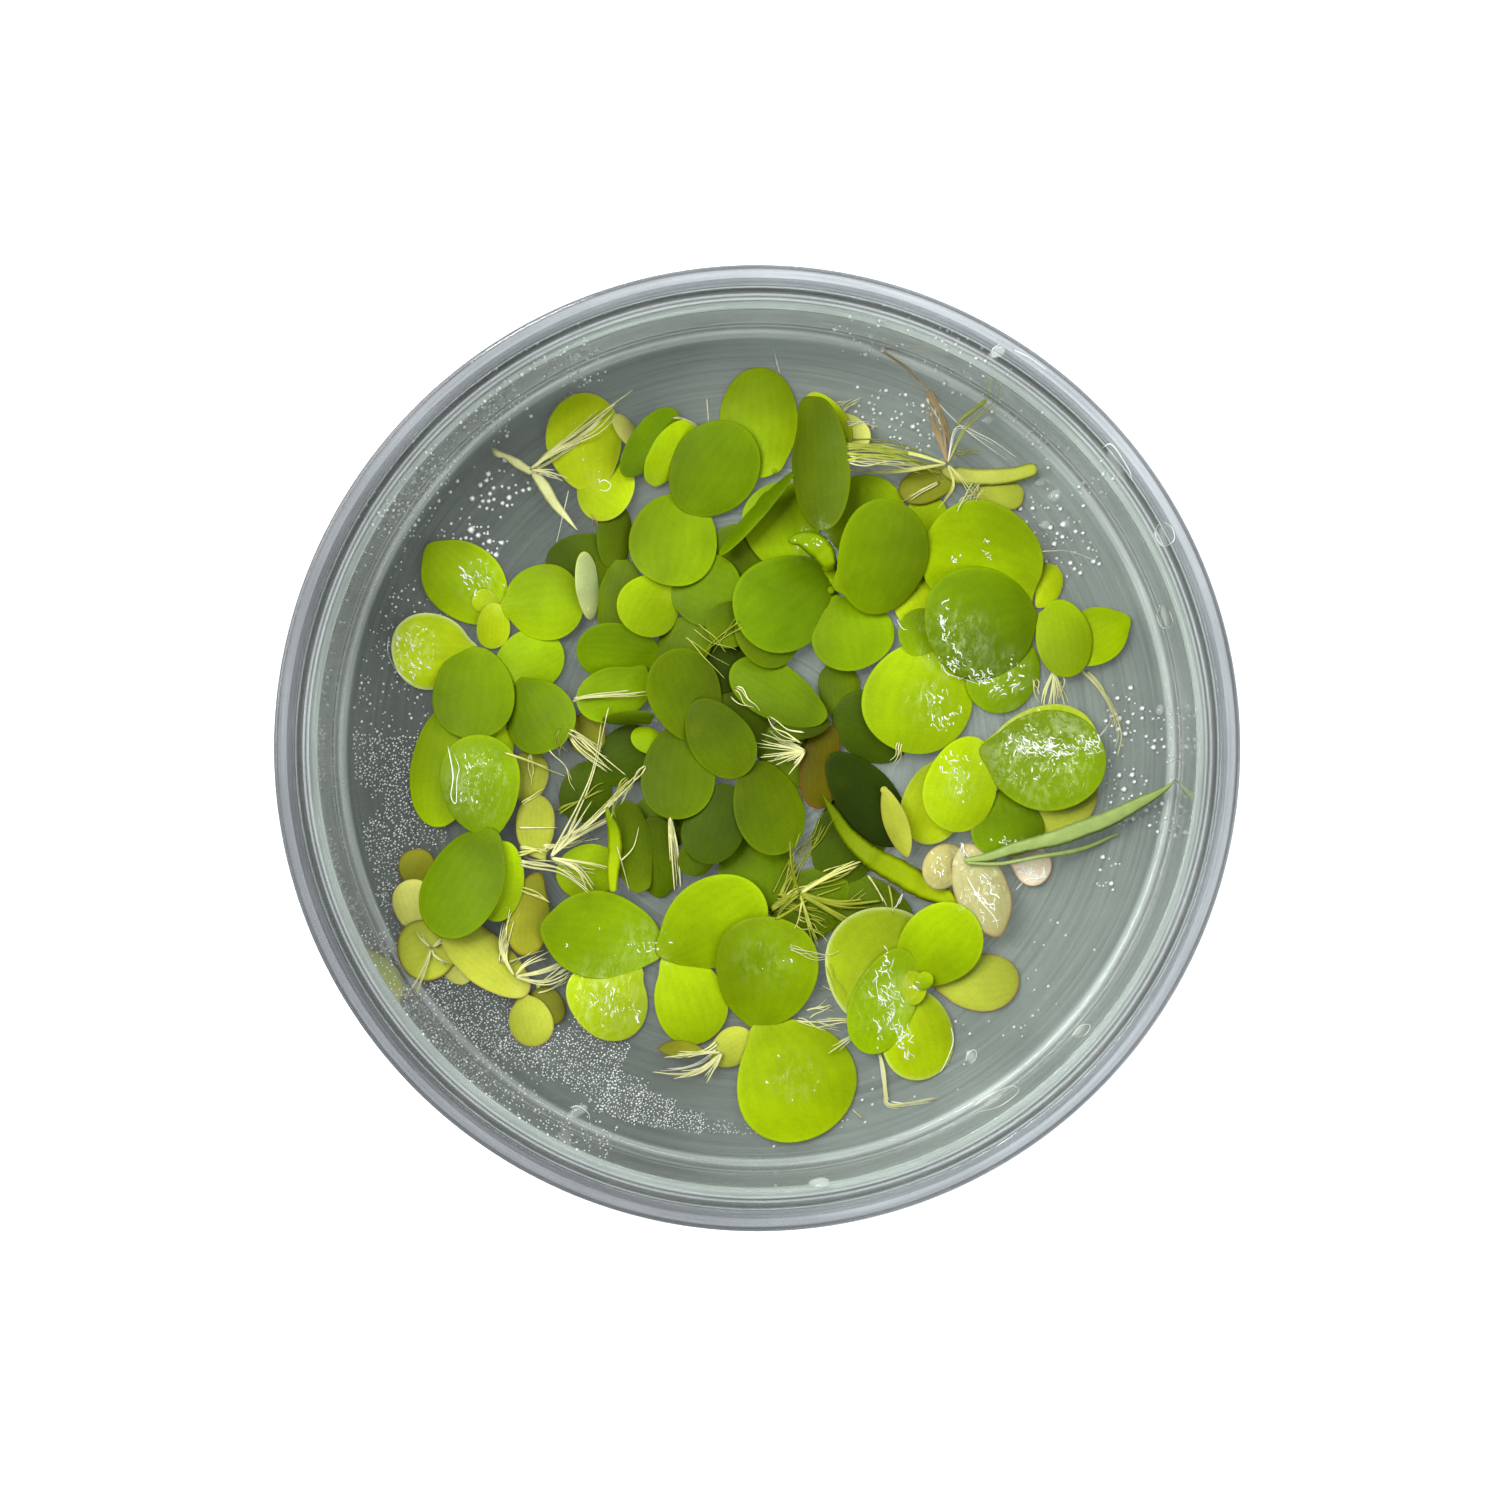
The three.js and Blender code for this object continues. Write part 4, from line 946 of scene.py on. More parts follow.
def frondPlane(corners, frond):
    # The plane of the frond's edge, height = a + b x + c y from its middle, through the corners of
    # the CAD solid that lie on the outline. The middle's two corners are the dome and the belly.
    # Corners of other fronds are left out one at a time, the one that misses most first.
    sides = cadFrond["sides"][frond[2] > cadFrond["long"]]
    outline = frondOutline(frond, np.arange(sides) * 2 * np.pi / sides)
    offsets = corners[:, :2] - frond[:2]
    toOutline = np.hypot(*(offsets[:, None] - outline).transpose(2, 0, 1)).min(1)
    inMiddle = np.hypot(*offsets.T) < cadFrond["near"]
    used = (toOutline < cadFrond["near"]) | inMiddle
    places = np.c_[np.ones(used.sum()), offsets[used]]
    heights, inMiddle = corners[used, 2], inMiddle[used]
    plane = np.array([heights.mean(), 0, 0])
    while True:
        for fit in range(cadFrond["fits"]):
            stretch = np.sqrt(1 + (plane[1:] ** 2).sum())
            bulge = np.where(heights > places @ plane, frondForm["dome"], -frondForm["belly"]) * stretch
            bulge = np.where(inMiddle, bulge, 0)
            plane = np.linalg.lstsq(places, heights - bulge, rcond=None)[0]
        misses = np.abs(places @ plane + bulge - heights)
        worst = misses.argmax()
        if misses[worst] < cadFrond["miss"] or len(heights) < cadFrond["fewest"]:
            return plane, misses[worst]
        keep = np.arange(len(heights)) != worst
        places, heights, inMiddle = places[keep], heights[keep], inMiddle[keep]


def turnFrom(angles, start):  # how far round from a direction, from -pi to pi
    return np.angle(np.exp(1j * (angles - start)))


def frondEdge(frond, crown, turns, phases, touch):
    # The outline as angles and radii from the middle. Three waves make it uneven, a bell curve
    # draws it out to a neck that runs past the crown, and another one makes a point at the tip.
    outline = frondOutline(frond, turns, touch.get("lens", 0.0)) * touch.get("grow", 1)
    angle = np.arctan2(outline[:, 1], outline[:, 0])
    radius = np.hypot(*outline.T)
    toCrown = np.array(crown) - frond[:2]
    away = turnFrom(angle, np.arctan2(toCrown[1], toCrown[0]))
    uneven = sum(np.sin((k + 2) * angle + phases[k]) / (k + 1) for k in range(3))
    radius = radius * (1 + frondForm["uneven"] * uneven)
    atCrown = radius[np.abs(away).argmin()]
    reach = min(np.hypot(*toCrown) + frondForm["neck"], frondForm["longest"] * atCrown)
    if reach > atCrown and touch.get("lens", 0) == 0:
        wider = frondForm["neckTurn"] * (1 + max(0, reach / radius.max() - 1))
        radius = radius + np.maximum(0, reach - radius) * np.exp(-((away / wider) ** 2))
    tipTurn = turnFrom(angle, np.radians(frond[4])) / frondForm["pointTurn"]
    return angle, radius * (1 + touch.get("point", 0) * np.exp(-(tipTurn**2)))


def frondTone(toneName, crown, grid, shares, angle, touch):
    # From the middle's colour to the rim's, with a light spot at the crown, a tint for the whole
    # frond, and a shade that changes evenly from one side to the other, in a random direction,
    # which is partly the frond's own tone and partly painted shade. The greens' rims are partly a
    # painted highlight.
    inside, atRim, spot = (linear(colour) * frondForm["gain"] for colour in tones[toneName])
    if "tone" in touch:
        inside = linear(touch["tone"]) * frondForm["gain"]
    if "rimTone" in touch:
        atRim = linear(touch["rimTone"]) * frondForm["gain"]
    tint = rng.normal(1, frondForm["varied"]) * np.array([rng.normal(1, frondForm["redder"]), 1, 1])
    tint = tint * touch.get("lighter", 1)
    slope = rng.uniform(0, 2 * np.pi)
    # painted shade in part: the colour grows darker to one side and lighter to the other
    shade = 1 + frondForm["gradient"] * shares * np.cos(angle - slope)
    tone = mixed(inside, atRim, ramp(shares, frondForm["rimFrom"], 1.0) * np.ones_like(angle))
    nearCrown = np.hypot(*(grid[..., :2] - crown).transpose(2, 0, 1)) / frondForm["spotSize"]
    return mixed(tone, spot, frondForm["spot"] * np.exp(-(nearCrown**2))) * tint * shade[..., None]


def wetness(grid):  # the most of what the wet places give, each of them flat with a soft edge
    wet = np.zeros(grid.shape[:2])
    for px, py, size, strength in wetPlaces:
        distance = np.hypot(*(grid[..., :2] - inHeap((px, py))).transpose(2, 0, 1))
        wet = np.maximum(wet, strength * np.exp(-((distance / (size * photo["millimetres"])) ** 4)))
    return wet


def frondShell(pile, frond, crown, plane, touch):
    # A point is share times the outline away from the middle. The top stands above the plane by
    # dome (1 - share squared) + rim (1 - share to the power blunt) to the half, and the underside
    # hangs below it in the same way. The edge waves up and down twice and three times round. A
    # bend moves points to the left by 1/2 - (twice the way ahead / length) squared.
    x, y, length, width, heading, toneName = frond
    turns = np.linspace(0, 2 * np.pi, frondForm["spokes"], endpoint=False)
    phases = rng.uniform(0, 2 * np.pi, 5)
    angle, radius = frondEdge(frond, crown, turns, phases, touch)
    edge = np.stack([np.cos(angle), np.sin(angle)], -1) * radius[:, None]
    ahead = np.array([np.cos(np.radians(heading)), np.sin(np.radians(heading))])
    left = np.array([-ahead[1], ahead[0]])

    shares = np.array([*frondForm["top"], 1, *frondForm["under"]])[:, None]
    side = np.where(np.arange(len(shares)) < len(frondForm["top"]), 1, -1)[:, None]
    slim = min(1, length / frondForm["slim"])
    rimHalf = frondForm["rim"] * slim
    rim = rimHalf * np.sqrt(1 - shares ** frondForm["blunt"])
    dome, belly = touch.get("dome", frondForm["dome"]) * slim, frondForm["belly"] * slim
    lift = np.where(side > 0, dome, belly) * (1 - shares**2)
    stretch = np.sqrt(1 + (plane[1:] ** 2).sum())
    twice, thrice = frondForm["wave"]
    wave = twice * np.sin(2 * turns + phases[3]) + thrice * np.sin(3 * turns + phases[4])
    flat = shares[..., None] * edge
    bend = touch.get("bend", 0) * length * (0.5 - (flat @ ahead * 2 / length) ** 2)
    flat = flat + bend[..., None] * left
    height = plane[0] + flat @ plane[1:] + side * (lift + rim) * stretch + wave * shares**3
    grid = np.concatenate([flat + (x, y), height[..., None]], -1)
    middle = bend[0, 0] * left
    poleHeight = plane[0] + middle @ plane[1:]
    top = poleHeight + (dome + rimHalf) * stretch
    bottom = poleHeight - (belly + rimHalf) * stretch
    poles = np.array([(*(middle + (x, y)), top), (*(middle + (x, y)), bottom)])

    # The veins follow the way across, as a share of the frond's width at that place.
    along, across = shares * np.cos(turns), shares * np.sin(turns)
    spread = np.stack([along, across / np.sqrt(1.02 - along**2)], -1)
    pile.add(poles, grid, frondTone(toneName, crown, grid, shares, angle, touch), spread, wetness(grid))


def frondSkin():
    finish = frondFinish
    material, tree, inputs = newMaterial("frond skin")
    tone, wet = attribute(tree, "tone")["Color"], attribute(tree, "wet")["Fac"]
    spread = tree.nodes.new("ShaderNodeUVMap")
    spread.uv_map = "spread"
    parts = tree.nodes.new("ShaderNodeSeparateXYZ")
    tree.links.new(spread.outputs["UV"], parts.inputs["Vector"])
    veins = worked(tree, "SINE", worked(tree, "MULTIPLY", parts.outputs["Y"], finish["veins"]), 0.0)
    pattern = stepped(tree, veins, -1, 1, *finish["veinTone"])
    for look in (finish["blotch"], finish["cells"]):
        pattern = worked(tree, "MULTIPLY", pattern, patchy(tree, look))
    # painted sheen: the colour turns pale in flecks where the frond is wet
    paintedSheen = worked(tree, "MULTIPLY", patchy(tree, finish["paintedSheen"]), wet)
    colour = blended(tree, scaled(tree, tone, pattern), finish["paintedSheenTone"], paintedSheen)
    tree.links.new(colour, inputs["Base Color"])
    tree.links.new(patchy(tree, finish["rough"]), inputs["Roughness"])
    cells = grained(tree, finish["cellRelief"])
    tree.links.new(bumped(tree, veins, **finish["veinRelief"], under=cells), inputs["Normal"])
    ripple = finish["filmRipple"]
    ripples = worked(tree, "MULTIPLY", noise(tree, ripple["scale"], ripple["detail"]), ripple["share"])
    film = worked(tree, "ADD", patchy(tree, finish["film"]), ripples)  # water with steep edges
    tree.links.new(bumped(tree, film, **finish["filmRelief"]), inputs["Coat Normal"])
    tree.links.new(wet, inputs["Coat Weight"])
    setSockets(inputs, finish["sockets"])
    return material


def surfaceOf(name, plan):  # heights of the middle surface of a CAD node
    tree = treeOf(nodePoints(name), [tuple(face.vertices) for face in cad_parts[name].data.polygons])
    return bridged((castFrom(above, tree, plan) + castFrom(below, tree, plan)) / 2)


def bladeShells(pile, name):
    # Flat strips with an edge that steps in and out a little, coloured from one tone to the other.
    blade = blades[name]
    gain = frondForm["gain"] * blade.get("lighter", 1)
    first, last = (linear(tones[tone][0]) * gain for tone in blade["tones"])
    for strip in blade["strips"]:
        path = evenPath(strip, frondForm["bladeStep"])
        plan, half = inHeap(path[:, :2]), path[:, 2] * photo["millimetres"]
        ragged = 1 + rng.uniform(-frondForm["ragged"], frondForm["ragged"], len(half))
        tone = mixed(first, last, np.linspace(0, 1, len(path)))[1:-1, None]
        thick = frondForm["blade"]
        wide = np.maximum(half * ragged / thick, frondForm["narrowest"])
        sweep(pile, np.c_[plan, surfaceOf(name, plan)], thick, tone, wide, 0)


def crownBud(pile, crown, height, tone):
    # The small knot where a plant's fronds grow together: rings of a flattened globe, closed by
    # a pole above them and one below.
    turns = np.linspace(0, 2 * np.pi, frondForm["budSides"], endpoint=False)
    place, size = np.array([*crown, height]), np.array(frondForm["bud"])
    poles = np.array([place + (0, 0, size[2]), place - (0, 0, size[2])])
    pile.add(poles, place + globe(frondForm["budRise"], turns) * size, tone)


def plantPile(name, plant):
    corners = np.unique(nodePoints(name).round(4), axis=0)
    pile = Pile()
    worst, heights = 0, []
    blade = blades.get(name, {"instead": ()})
    for number, frond in enumerate(plant["fronds"]):
        plane, miss = frondPlane(corners, frond)
        worst = max(worst, miss)
        if number in blade["instead"]:
            continue
        frondShell(pile, frond, plant["crown"], plane, touches.get((name, number), {}))
        heights.append(plane[0] + plane[1:] @ (np.array(plant["crown"]) - frond[:2]))
    if name in blades:
        bladeShells(pile, name)
    if heights:
        budTone = linear(tones[plant["fronds"][-1][5]][0]) * frondForm["gain"]
        crownBud(pile, plant["crown"], np.mean(heights) - frondForm["budSunk"], budTone)
    return pile, worst


skin = frondSkin()
frondPoints, frondFaces = [], []
for plantName, plant in plants.items():
    plantShells, farthest = plantPile(plantName, plant)
    makePiece(plantName + "_fronds", plantShells, skin, [plantName])
    somePoints, someFaces = plantShells.mesh()
    start = sum(len(points) for points in frondPoints)
    frondPoints.append(somePoints)
    frondFaces += [tuple(start + corner for corner in face) for face in someFaces]
    if farthest > cadFrond["miss"]:
        print(f"{plantName}: a frond misses its solid by {farthest:.3f} mm")
heapTree = treeOf(np.concatenate(frondPoints), frondFaces)
frondCount = sum(len(plant["fronds"]) for plant in plants.values())
print(f"{len(plants)} plants are made, with {frondCount} fronds")


# The roots
rootForm = {
    "step": 0.35,
    "slope": 0.6,  # the steepest that a root bends
    "clear": 0.03,  # between a root and what it lies on
    "shades": (0.85, 1.05),
    "companions": 3,  # thinner strands that leave each strand
    "companion": {  # how far one ends to the side, its sway, lift, length, thickness and shade
        "fan": 0.55,
        "ends": (0.4, 1),
        "sway": 0.15,
        "lift": (-0.06, 0.22),
        "over": 0.05,
        "length": (0.65, 1),
        "thick": (0.5, 0.85),
        "shades": (0.9, 1.12),
    },
    "loose": {  # the same for loose strands: starts and ends are shares of how far apart they are
        "starts": 0.2,
        "ends": 0.6,
        "sway": 0.12,
        "mostSway": 10,
        "lift": 0.3,
        "length": (0.7, 1),
        "thick": (0.45, 1),
        "shades": (0.8, 1.12),
    },
    "cream": (230, 230, 160),
    "straw": (214, 216, 120),
    "green": (180, 190, 72),
    "olive": (150, 160, 34),
    "tan": (176, 152, 104),
    "white": (240, 240, 220),
    "gain": 0.72,
    "streaks": {"scale": 900, "detail": 3, "to": (0.86, 1.1)},
    "rough": {"scale": 1500, "detail": 2, "to": (0.35, 0.55)},
    "relief": {"scale": 3000, "detail": 2, "strength": 0.4, "depth": 0.05},
    "sockets": {"IOR": 1.38},
}
bunches = {  # a look is a tone, a share of the bunch's radius and how many companions
    "lower_left_upturned_roots": {"crown": (-32, -19.6), "radius": 0.26, "strands": [
        [(-32.8, -22.1), (-34, -25.1)],
        [(-33, -18.7), (-33.5, -17.9)],
        [(-31, -18.7), (-30.6, -17.7)],
        [(-31.6, -20.4), (-30.1, -21.2)],
    ]},
    "lower_left_chain_roots": {"crown": (-23.8, -22.4), "radius": 0.24, "strands": [
        [(-24.7, -20.4), (-24.2, -17.2), (-23.2, -14.6)],
        [(-25.1, -19.6), (-24.6, -16.7), (-24, -14.6)],
        [(-22.6, -21.1), (-20.1, -19.8)],
        [(-21.1, -21.8), (-17.7, -20.4)],
        [(-20.6, -22.9), (-17.4, -21.4)],
    ]},
    "root_fan_roots": {"crown": (-20.3, -10.7), "radius": 0.26, "strands": [
        [(-17.7, -8.6), (-13.1, -6.2)],
        [(-15.7, -6.5), (-11.4, -2.1)],
        [(-17.4, -5.1), (-16, -1.4), (-15.1, 4.1)],
        [(-17.7, -11.7), (-16, -14.1)],
        [(-16.2, -11.3), (-13.9, -11.9)],
        [(-18.6, -8.7), (-16.2, -5.1)],
    ], "looks": [
        ("cream", 0.5, 3), ("cream", 0.5, 4), ("cream", 0.42, 0), ("cream", 0.5, 3), ("cream", 0.5, 2),
        ("cream", 0.4, 2),
    ]},
    "left_inner_roots": {"crown": (-19.3, 3.5), "radius": 0.24, "strands": [
        [(-17.4, 4.9), (-13.3, 5.3), (-8.9, 5.8)],
        [(-17.2, 1), (-12.8, -2.7)],
        [(-17.7, 0.4), (-14.1, -2.3)],
    ]},
    "lower_shaded_roots": {"crown": (-8.7, -5.8), "radius": 0.24, "strands": [
        [(-8.4, -9.9), (-8.1, -14.1)],
        [(-7.8, -9.9), (-7.5, -13.8)],
    ], "looks": [("cream", 0.6, 1), ("cream", 0.6, 0)]},
    "centre_roots": {"crown": (4.2, -14.3), "radius": 0.22, "strands": [
        [(7.6, -12.2), (10.8, -10.9)],
        [(8.3, -15.3), (12.3, -15)],
        [(8.3, -16.5), (12.1, -18.5)],
        [(5.3, -17.7), (6.3, -20.1)],
        [(3.4, -11.7), (3.2, -8.9)],
        [(2.2, -16.2), (1.5, -18.2)],
    ], "looks": [
        ("straw", 1.1, 2), ("olive", 1.5, 3), ("olive", 1.3, 3), ("green", 0.7, 2), ("olive", 0.6, 2),
        ("olive", 0.5, 1),
    ]},
    "top_right_roots": {"crown": (7.9, 32.1), "radius": 0.22, "strands": [
        [(8.8, 33.8), (10.4, 34.7)],
        [(10, 32.1), (12.1, 31.7)],
        [(10.2, 30.7), (12.3, 30.2)],
    ]},
    "centre_right_roots": {"crown": (4.8, -0.2), "radius": 0.22, "strands": [
        [(2.7, 0.1), (-0.5, 0.6)],
        [(2.7, -0.6), (0.1, -0.9)],
        [(3.2, -1), (1.7, -1.7)],
        [(4, -1.4), (3, -2.7)],
        [(2.4, 0.8), (0.3, 1.5)],
    ]},
    "right_rosette_roots": {"crown": (29.3, 7.8), "radius": 0.24, "strands": [
        [(28.5, 5.6), (28.2, 3.5)],
        [(29.3, 5.4), (29.3, 3.2)],
        [(30, 5.6), (30.4, 3.9)],
        [(31.9, 7.6), (34.3, 5.2), (35.9, 1.7), (35.5, -0.9)],
    ]},
    "upper_right_roots": {"crown": (18.6, 27.8), "radius": 0.26, "strands": [
        [(14.4, 29), (8.7, 30.1)],
        [(13.9, 27.2), (8.7, 27.4)],
        [(17.4, 31.9), (16.8, 35.2)],
        [(17.6, 33.8), (14.4, 37.5), (10.8, 39.7)],
        [(20.5, 31.4), (23.9, 34.6)],
        [(19.5, 31.4), (22.2, 30.5), (25.4, 28.3)],
        [(19.2, 25.6), (17.6, 23.3)],
        [(20.3, 25.9), (21.7, 24.1)],
    ], "looks": [
        ("straw", 0.6, 4), ("straw", 0.6, 4), ("tan", 0.5, 4), ("tan", 0.3, 2), ("green", 0.35, 2),
        ("white", 0.3, 1), ("straw", 0.5, 2), ("straw", 0.5, 2),
    ]},
    "right_runner": {"crown": (20.2, -11.1), "radius": 0.5, "strands": [
        [(24.1, -11), (28, -10.4), (31.9, -9.6), (35.3, -8.3), (38.2, -6), (40.3, -3.7)],
        [(24.8, -11.7), (30.4, -10.5), (35.5, -9)],
    ]},
    "bottom_scraps_roots": {"crown": (-3.4, -29.9), "radius": 0.26, "strands": [
        [(-5.2, -31.5), (-7.5, -32.1), (-10.4, -31.9)],
        [(-5.5, -31.6), (-8.3, -32.6)],
        [(-4.2, -31.5), (-5, -33)],
        [(-5.5, -29.9), (-9.2, -30.3)],
    ]},
    "lower_right_roots": {"crown": (10.8, -27.4), "radius": 0.24, "strands": [
        [(12.3, -30.9), (12.7, -34), (13.3, -35.2), (17.9, -34.5)],
        [(9, -24.9), (6.3, -23.3)],
        [(8.6, -26.8), (5.3, -27)],
        [(8.8, -28.8), (6.9, -30.1)],
    ]},
    "standing_y_roots": {"crown": (-22.3, 27.3), "radius": 0.24, "strands": [
        [(-19, 30.1), (-15.3, 33), (-12.1, 35.4)],
        [(-19.5, 29.4), (-16, 31.1), (-14.1, 33)],
        [(-19.1, 29.5), (-16.3, 31.3)],
        [(-20.5, 27.1), (-18.4, 26.5)],
    ]},
}
looseRoots = [  # in pixels: places, radius in millimetres, tone, how many side by side, how far apart
    ([(1044, 549), (1075, 548), (1103, 558)], 0.07, "white", 1, 0),
    ([(853, 1114), (862, 1122), (872, 1130)], 0.1, "cream", 2, 2),
    ([(671, 413), (686, 415), (700, 426)], 0.09, "cream", 2, 3),
    ([(706, 391), (707, 405), (708, 419)], 0.07, "cream", 1, 0),
    ([(781, 368), (777, 352), (773, 338)], 0.07, "white", 2, 3),
    ([(837, 400), (850, 397), (862, 391)], 0.09, "cream", 2, 4),
    ([(846, 421), (862, 418), (878, 423)], 0.07, "white", 3, 8),
    ([(770, 912), (805, 893), (866, 866)], 0.2, "olive", 6, 20),
    ([(785, 902), (815, 886), (866, 866)], 0.11, "straw", 4, 9),
    ([(775, 900), (812, 909), (842, 917)], 0.2, "olive", 6, 20),
    ([(797, 920), (815, 928), (836, 937)], 0.14, "green", 4, 14),
    ([(780, 900), (795, 870), (826, 818)], 0.14, "olive", 6, 34),
    ([(800, 860), (815, 838), (832, 806)], 0.09, "olive", 4, 28),
    ([(790, 948), (820, 957), (850, 951)], 0.07, "cream", 4, 8),
    ([(868, 876), (881, 895), (889, 920)], 0.12, "cream", 2, 4),
    ([(890, 884), (893, 900), (894, 916)], 0.12, "green", 1, 0),
    ([(906, 893), (899, 905), (893, 916)], 0.1, "white", 2, 4),
    ([(806, 1016), (825, 1009), (846, 1010)], 0.09, "cream", 5, 16),
    ([(796, 1024), (822, 1031), (848, 1037)], 0.09, "cream", 4, 14),
    ([(828, 965), (836, 985), (842, 1004)], 0.08, "green", 3, 12),
    ([(540, 850), (565, 848), (603, 838)], 0.1, "cream", 4, 14),
    ([(550, 864), (575, 869), (603, 873)], 0.11, "cream", 3, 10),
    ([(518, 862), (556, 870), (592, 894)], 0.16, "cream", 5, 8),
    ([(552, 848), (575, 832), (602, 822)], 0.11, "cream", 4, 12),
    ([(546, 852), (596, 815), (642, 770)], 0.12, "cream", 4, 7),
    ([(562, 842), (586, 788), (600, 740)], 0.13, "cream", 1, 0),
    ([(554, 815), (580, 800), (616, 782)], 0.16, "olive", 3, 8),
    ([(500, 966), (506, 935), (516, 902)], 0.1, "cream", 5, 14),
    ([(502, 968), (522, 958), (548, 950)], 0.09, "cream", 4, 6),
    ([(532, 992), (550, 978), (568, 964)], 0.13, "cream", 5, 10),
    ([(533, 996), (552, 990), (573, 974)], 0.1, "cream", 4, 5),
    ([(519, 890), (535, 897), (560, 908)], 0.13, "straw", 3, 9),
    ([(718, 1046), (700, 1056), (660, 1060)], 0.12, "cream", 4, 5),
    ([(716, 1052), (692, 1070), (650, 1076)], 0.12, "white", 3, 4),
    ([(718, 1054), (714, 1070), (707, 1086)], 0.08, "white", 2, 3),
    ([(670, 817), (674, 850), (678, 893)], 0.15, "cream", 4, 5),
    ([(616, 845), (622, 868), (628, 893)], 0.08, "cream", 1, 0),
    ([(502, 752), (532, 763), (567, 777)], 0.12, "straw", 2, 3),
    ([(518, 806), (532, 795), (550, 787)], 0.13, "straw", 3, 5),
    ([(526, 753), (528, 770), (527, 792)], 0.09, "straw", 3, 12),
    ([(546, 750), (562, 768), (576, 795)], 0.07, "cream", 2, 8),
    ([(515, 828), (535, 828), (556, 828)], 0.11, "cream", 1, 0),
    ([(516, 850), (533, 851), (552, 855)], 0.24, "straw", 5, 14),
    ([(619, 862), (632, 848), (638, 826)], 0.08, "cream", 1, 0),
    ([(806, 888), (800, 915), (793, 935)], 0.1, "straw", 2, 4),
    ([(840, 912), (856, 900), (874, 886)], 0.07, "green", 2, 8),
    ([(822, 872), (840, 866), (862, 860)], 0.12, "straw", 2, 3),
    ([(571, 697), (605, 694), (643, 691)], 0.12, "cream", 2, 3),
    ([(566, 730), (588, 742), (610, 760)], 0.12, "cream", 4, 7),
    ([(608, 705), (602, 730), (594, 760)], 0.07, "cream", 1, 0),
    ([(560, 728), (556, 745), (566, 762)], 0.06, "olive", 4, 18),
    ([(630, 780), (612, 800), (604, 825)], 0.08, "green", 5, 20),
    ([(644, 764), (628, 785), (612, 815)], 0.09, "cream", 3, 12),
    ([(690, 628), (712, 648), (738, 668)], 0.09, "green", 4, 30),
    ([(742, 622), (722, 640), (700, 668)], 0.09, "olive", 4, 24),
    ([(732, 690), (748, 700), (766, 712)], 0.1, "cream", 4, 20),
    ([(802, 745), (780, 738), (758, 722)], 0.11, "cream", 5, 26),
    ([(800, 752), (782, 756), (762, 764)], 0.1, "cream", 4, 20),
    ([(846, 449), (900, 450), (952, 466)], 0.16, "green", 9, 24),
    ([(848, 460), (905, 462), (950, 468)], 0.12, "cream", 5, 16),
    ([(980, 484), (965, 497), (950, 510)], 0.11, "cream", 6, 16),
    ([(985, 482), (976, 492), (972, 504)], 0.1, "cream", 4, 20),
    ([(942, 477), (922, 488), (901, 502)], 0.1, "cream", 4, 4),
    ([(929, 384), (946, 418), (957, 460)], 0.13, "tan", 7, 9),
    ([(930, 390), (948, 425), (960, 452)], 0.08, "white", 3, 7),
    ([(872, 335), (908, 360), (930, 386)], 0.08, "tan", 2, 3),
    ([(939, 394), (966, 421), (1016, 459)], 0.08, "white", 2, 2),
    ([(1042, 470), (1050, 474), (1058, 481)], 0.07, "white", 1, 0),
    ([(992, 391), (970, 407), (953, 428)], 0.09, "green", 3, 7),
    ([(958, 446), (980, 448), (996, 442)], 0.08, "green", 4, 8),
    ([(531, 466), (575, 436), (628, 386)], 0.13, "cream", 6, 7),
    ([(533, 464), (580, 428), (614, 400)], 0.12, "green", 3, 8),
    ([(534, 470), (548, 472), (564, 476)], 0.1, "white", 3, 4),
    ([(566, 484), (561, 510), (553, 540)], 0.05, "white", 1, 0),
    ([(588, 511), (594, 520), (602, 526)], 0.08, "tan", 3, 8),
    ([(1092, 668), (1112, 692), (1123, 735)], 0.1, "cream", 3, 6),
    ([(1103, 736), (1110, 728), (1116, 720)], 0.08, "white", 1, 0),
    ([(1040, 676), (1042, 692), (1050, 706)], 0.1, "cream", 3, 10),
    ([(1064, 676), (1066, 690), (1062, 706)], 0.12, "cream", 3, 9),
    ([(962, 842), (965, 855), (970, 866)], 0.1, "white", 4, 10),
    ([(905, 742), (898, 758), (888, 770)], 0.09, "cream", 4, 18),
    ([(882, 1062), (886, 1092), (892, 1107)], 0.11, "white", 1, 0),
    ([(892, 1107), (915, 1109), (942, 1103)], 0.08, "white", 1, 0),
]


def fanOut(pile, path, radius, tone, companions):
    # The strand, and others that leave it by turns to its left and right. They are to its side by
    # end share + sway share sin(4 share + phase), and over it by lift share + a little.
    sweep(pile, path, radius, tone)
    form = rootForm["companion"]
    share = np.linspace(0, 1, len(path))
    side = np.cross(np.gradient(path, axis=0), (0, 0, 1))
    side /= np.linalg.norm(side, axis=1)[:, None]
    for k in range(companions):
        end = rng.uniform(*form["ends"]) * form["fan"] * (-1) ** k
        phase = rng.uniform(0, 2 * np.pi)
        offset = end * share + form["sway"] * np.sin(4 * share + phase) * share
        lift = rng.uniform(*form["lift"]) * share + form["over"]
        last = int(len(path) * rng.uniform(*form["length"]))
        thinner = path + side * offset[:, None] + np.c_[np.zeros((len(path), 2)), lift]
        brighter = tone * rng.uniform(*form["shades"])
        sweep(pile, thinner[: max(4, last)], radius * rng.uniform(*form["thick"]), brighter)


def bunchPile(name, bunch):
    pile = Pile()
    if name in blades:
        bladeShells(pile, name)
        return pile
    looks = bunch.get("looks", [("cream", 0.5, rootForm["companions"])] * len(bunch["strands"]))
    for places, (toneName, thinner, companions) in zip(bunch["strands"], looks):
        plan = evenPath([bunch["crown"], *places], rootForm["step"])
        path = np.c_[plan, surfaceOf(name, plan)]
        tone = linear(rootForm[toneName]) * rootForm["gain"] * rng.uniform(*rootForm["shades"])
        fanOut(pile, path, bunch["radius"] * thinner, tone, companions)
    return pile


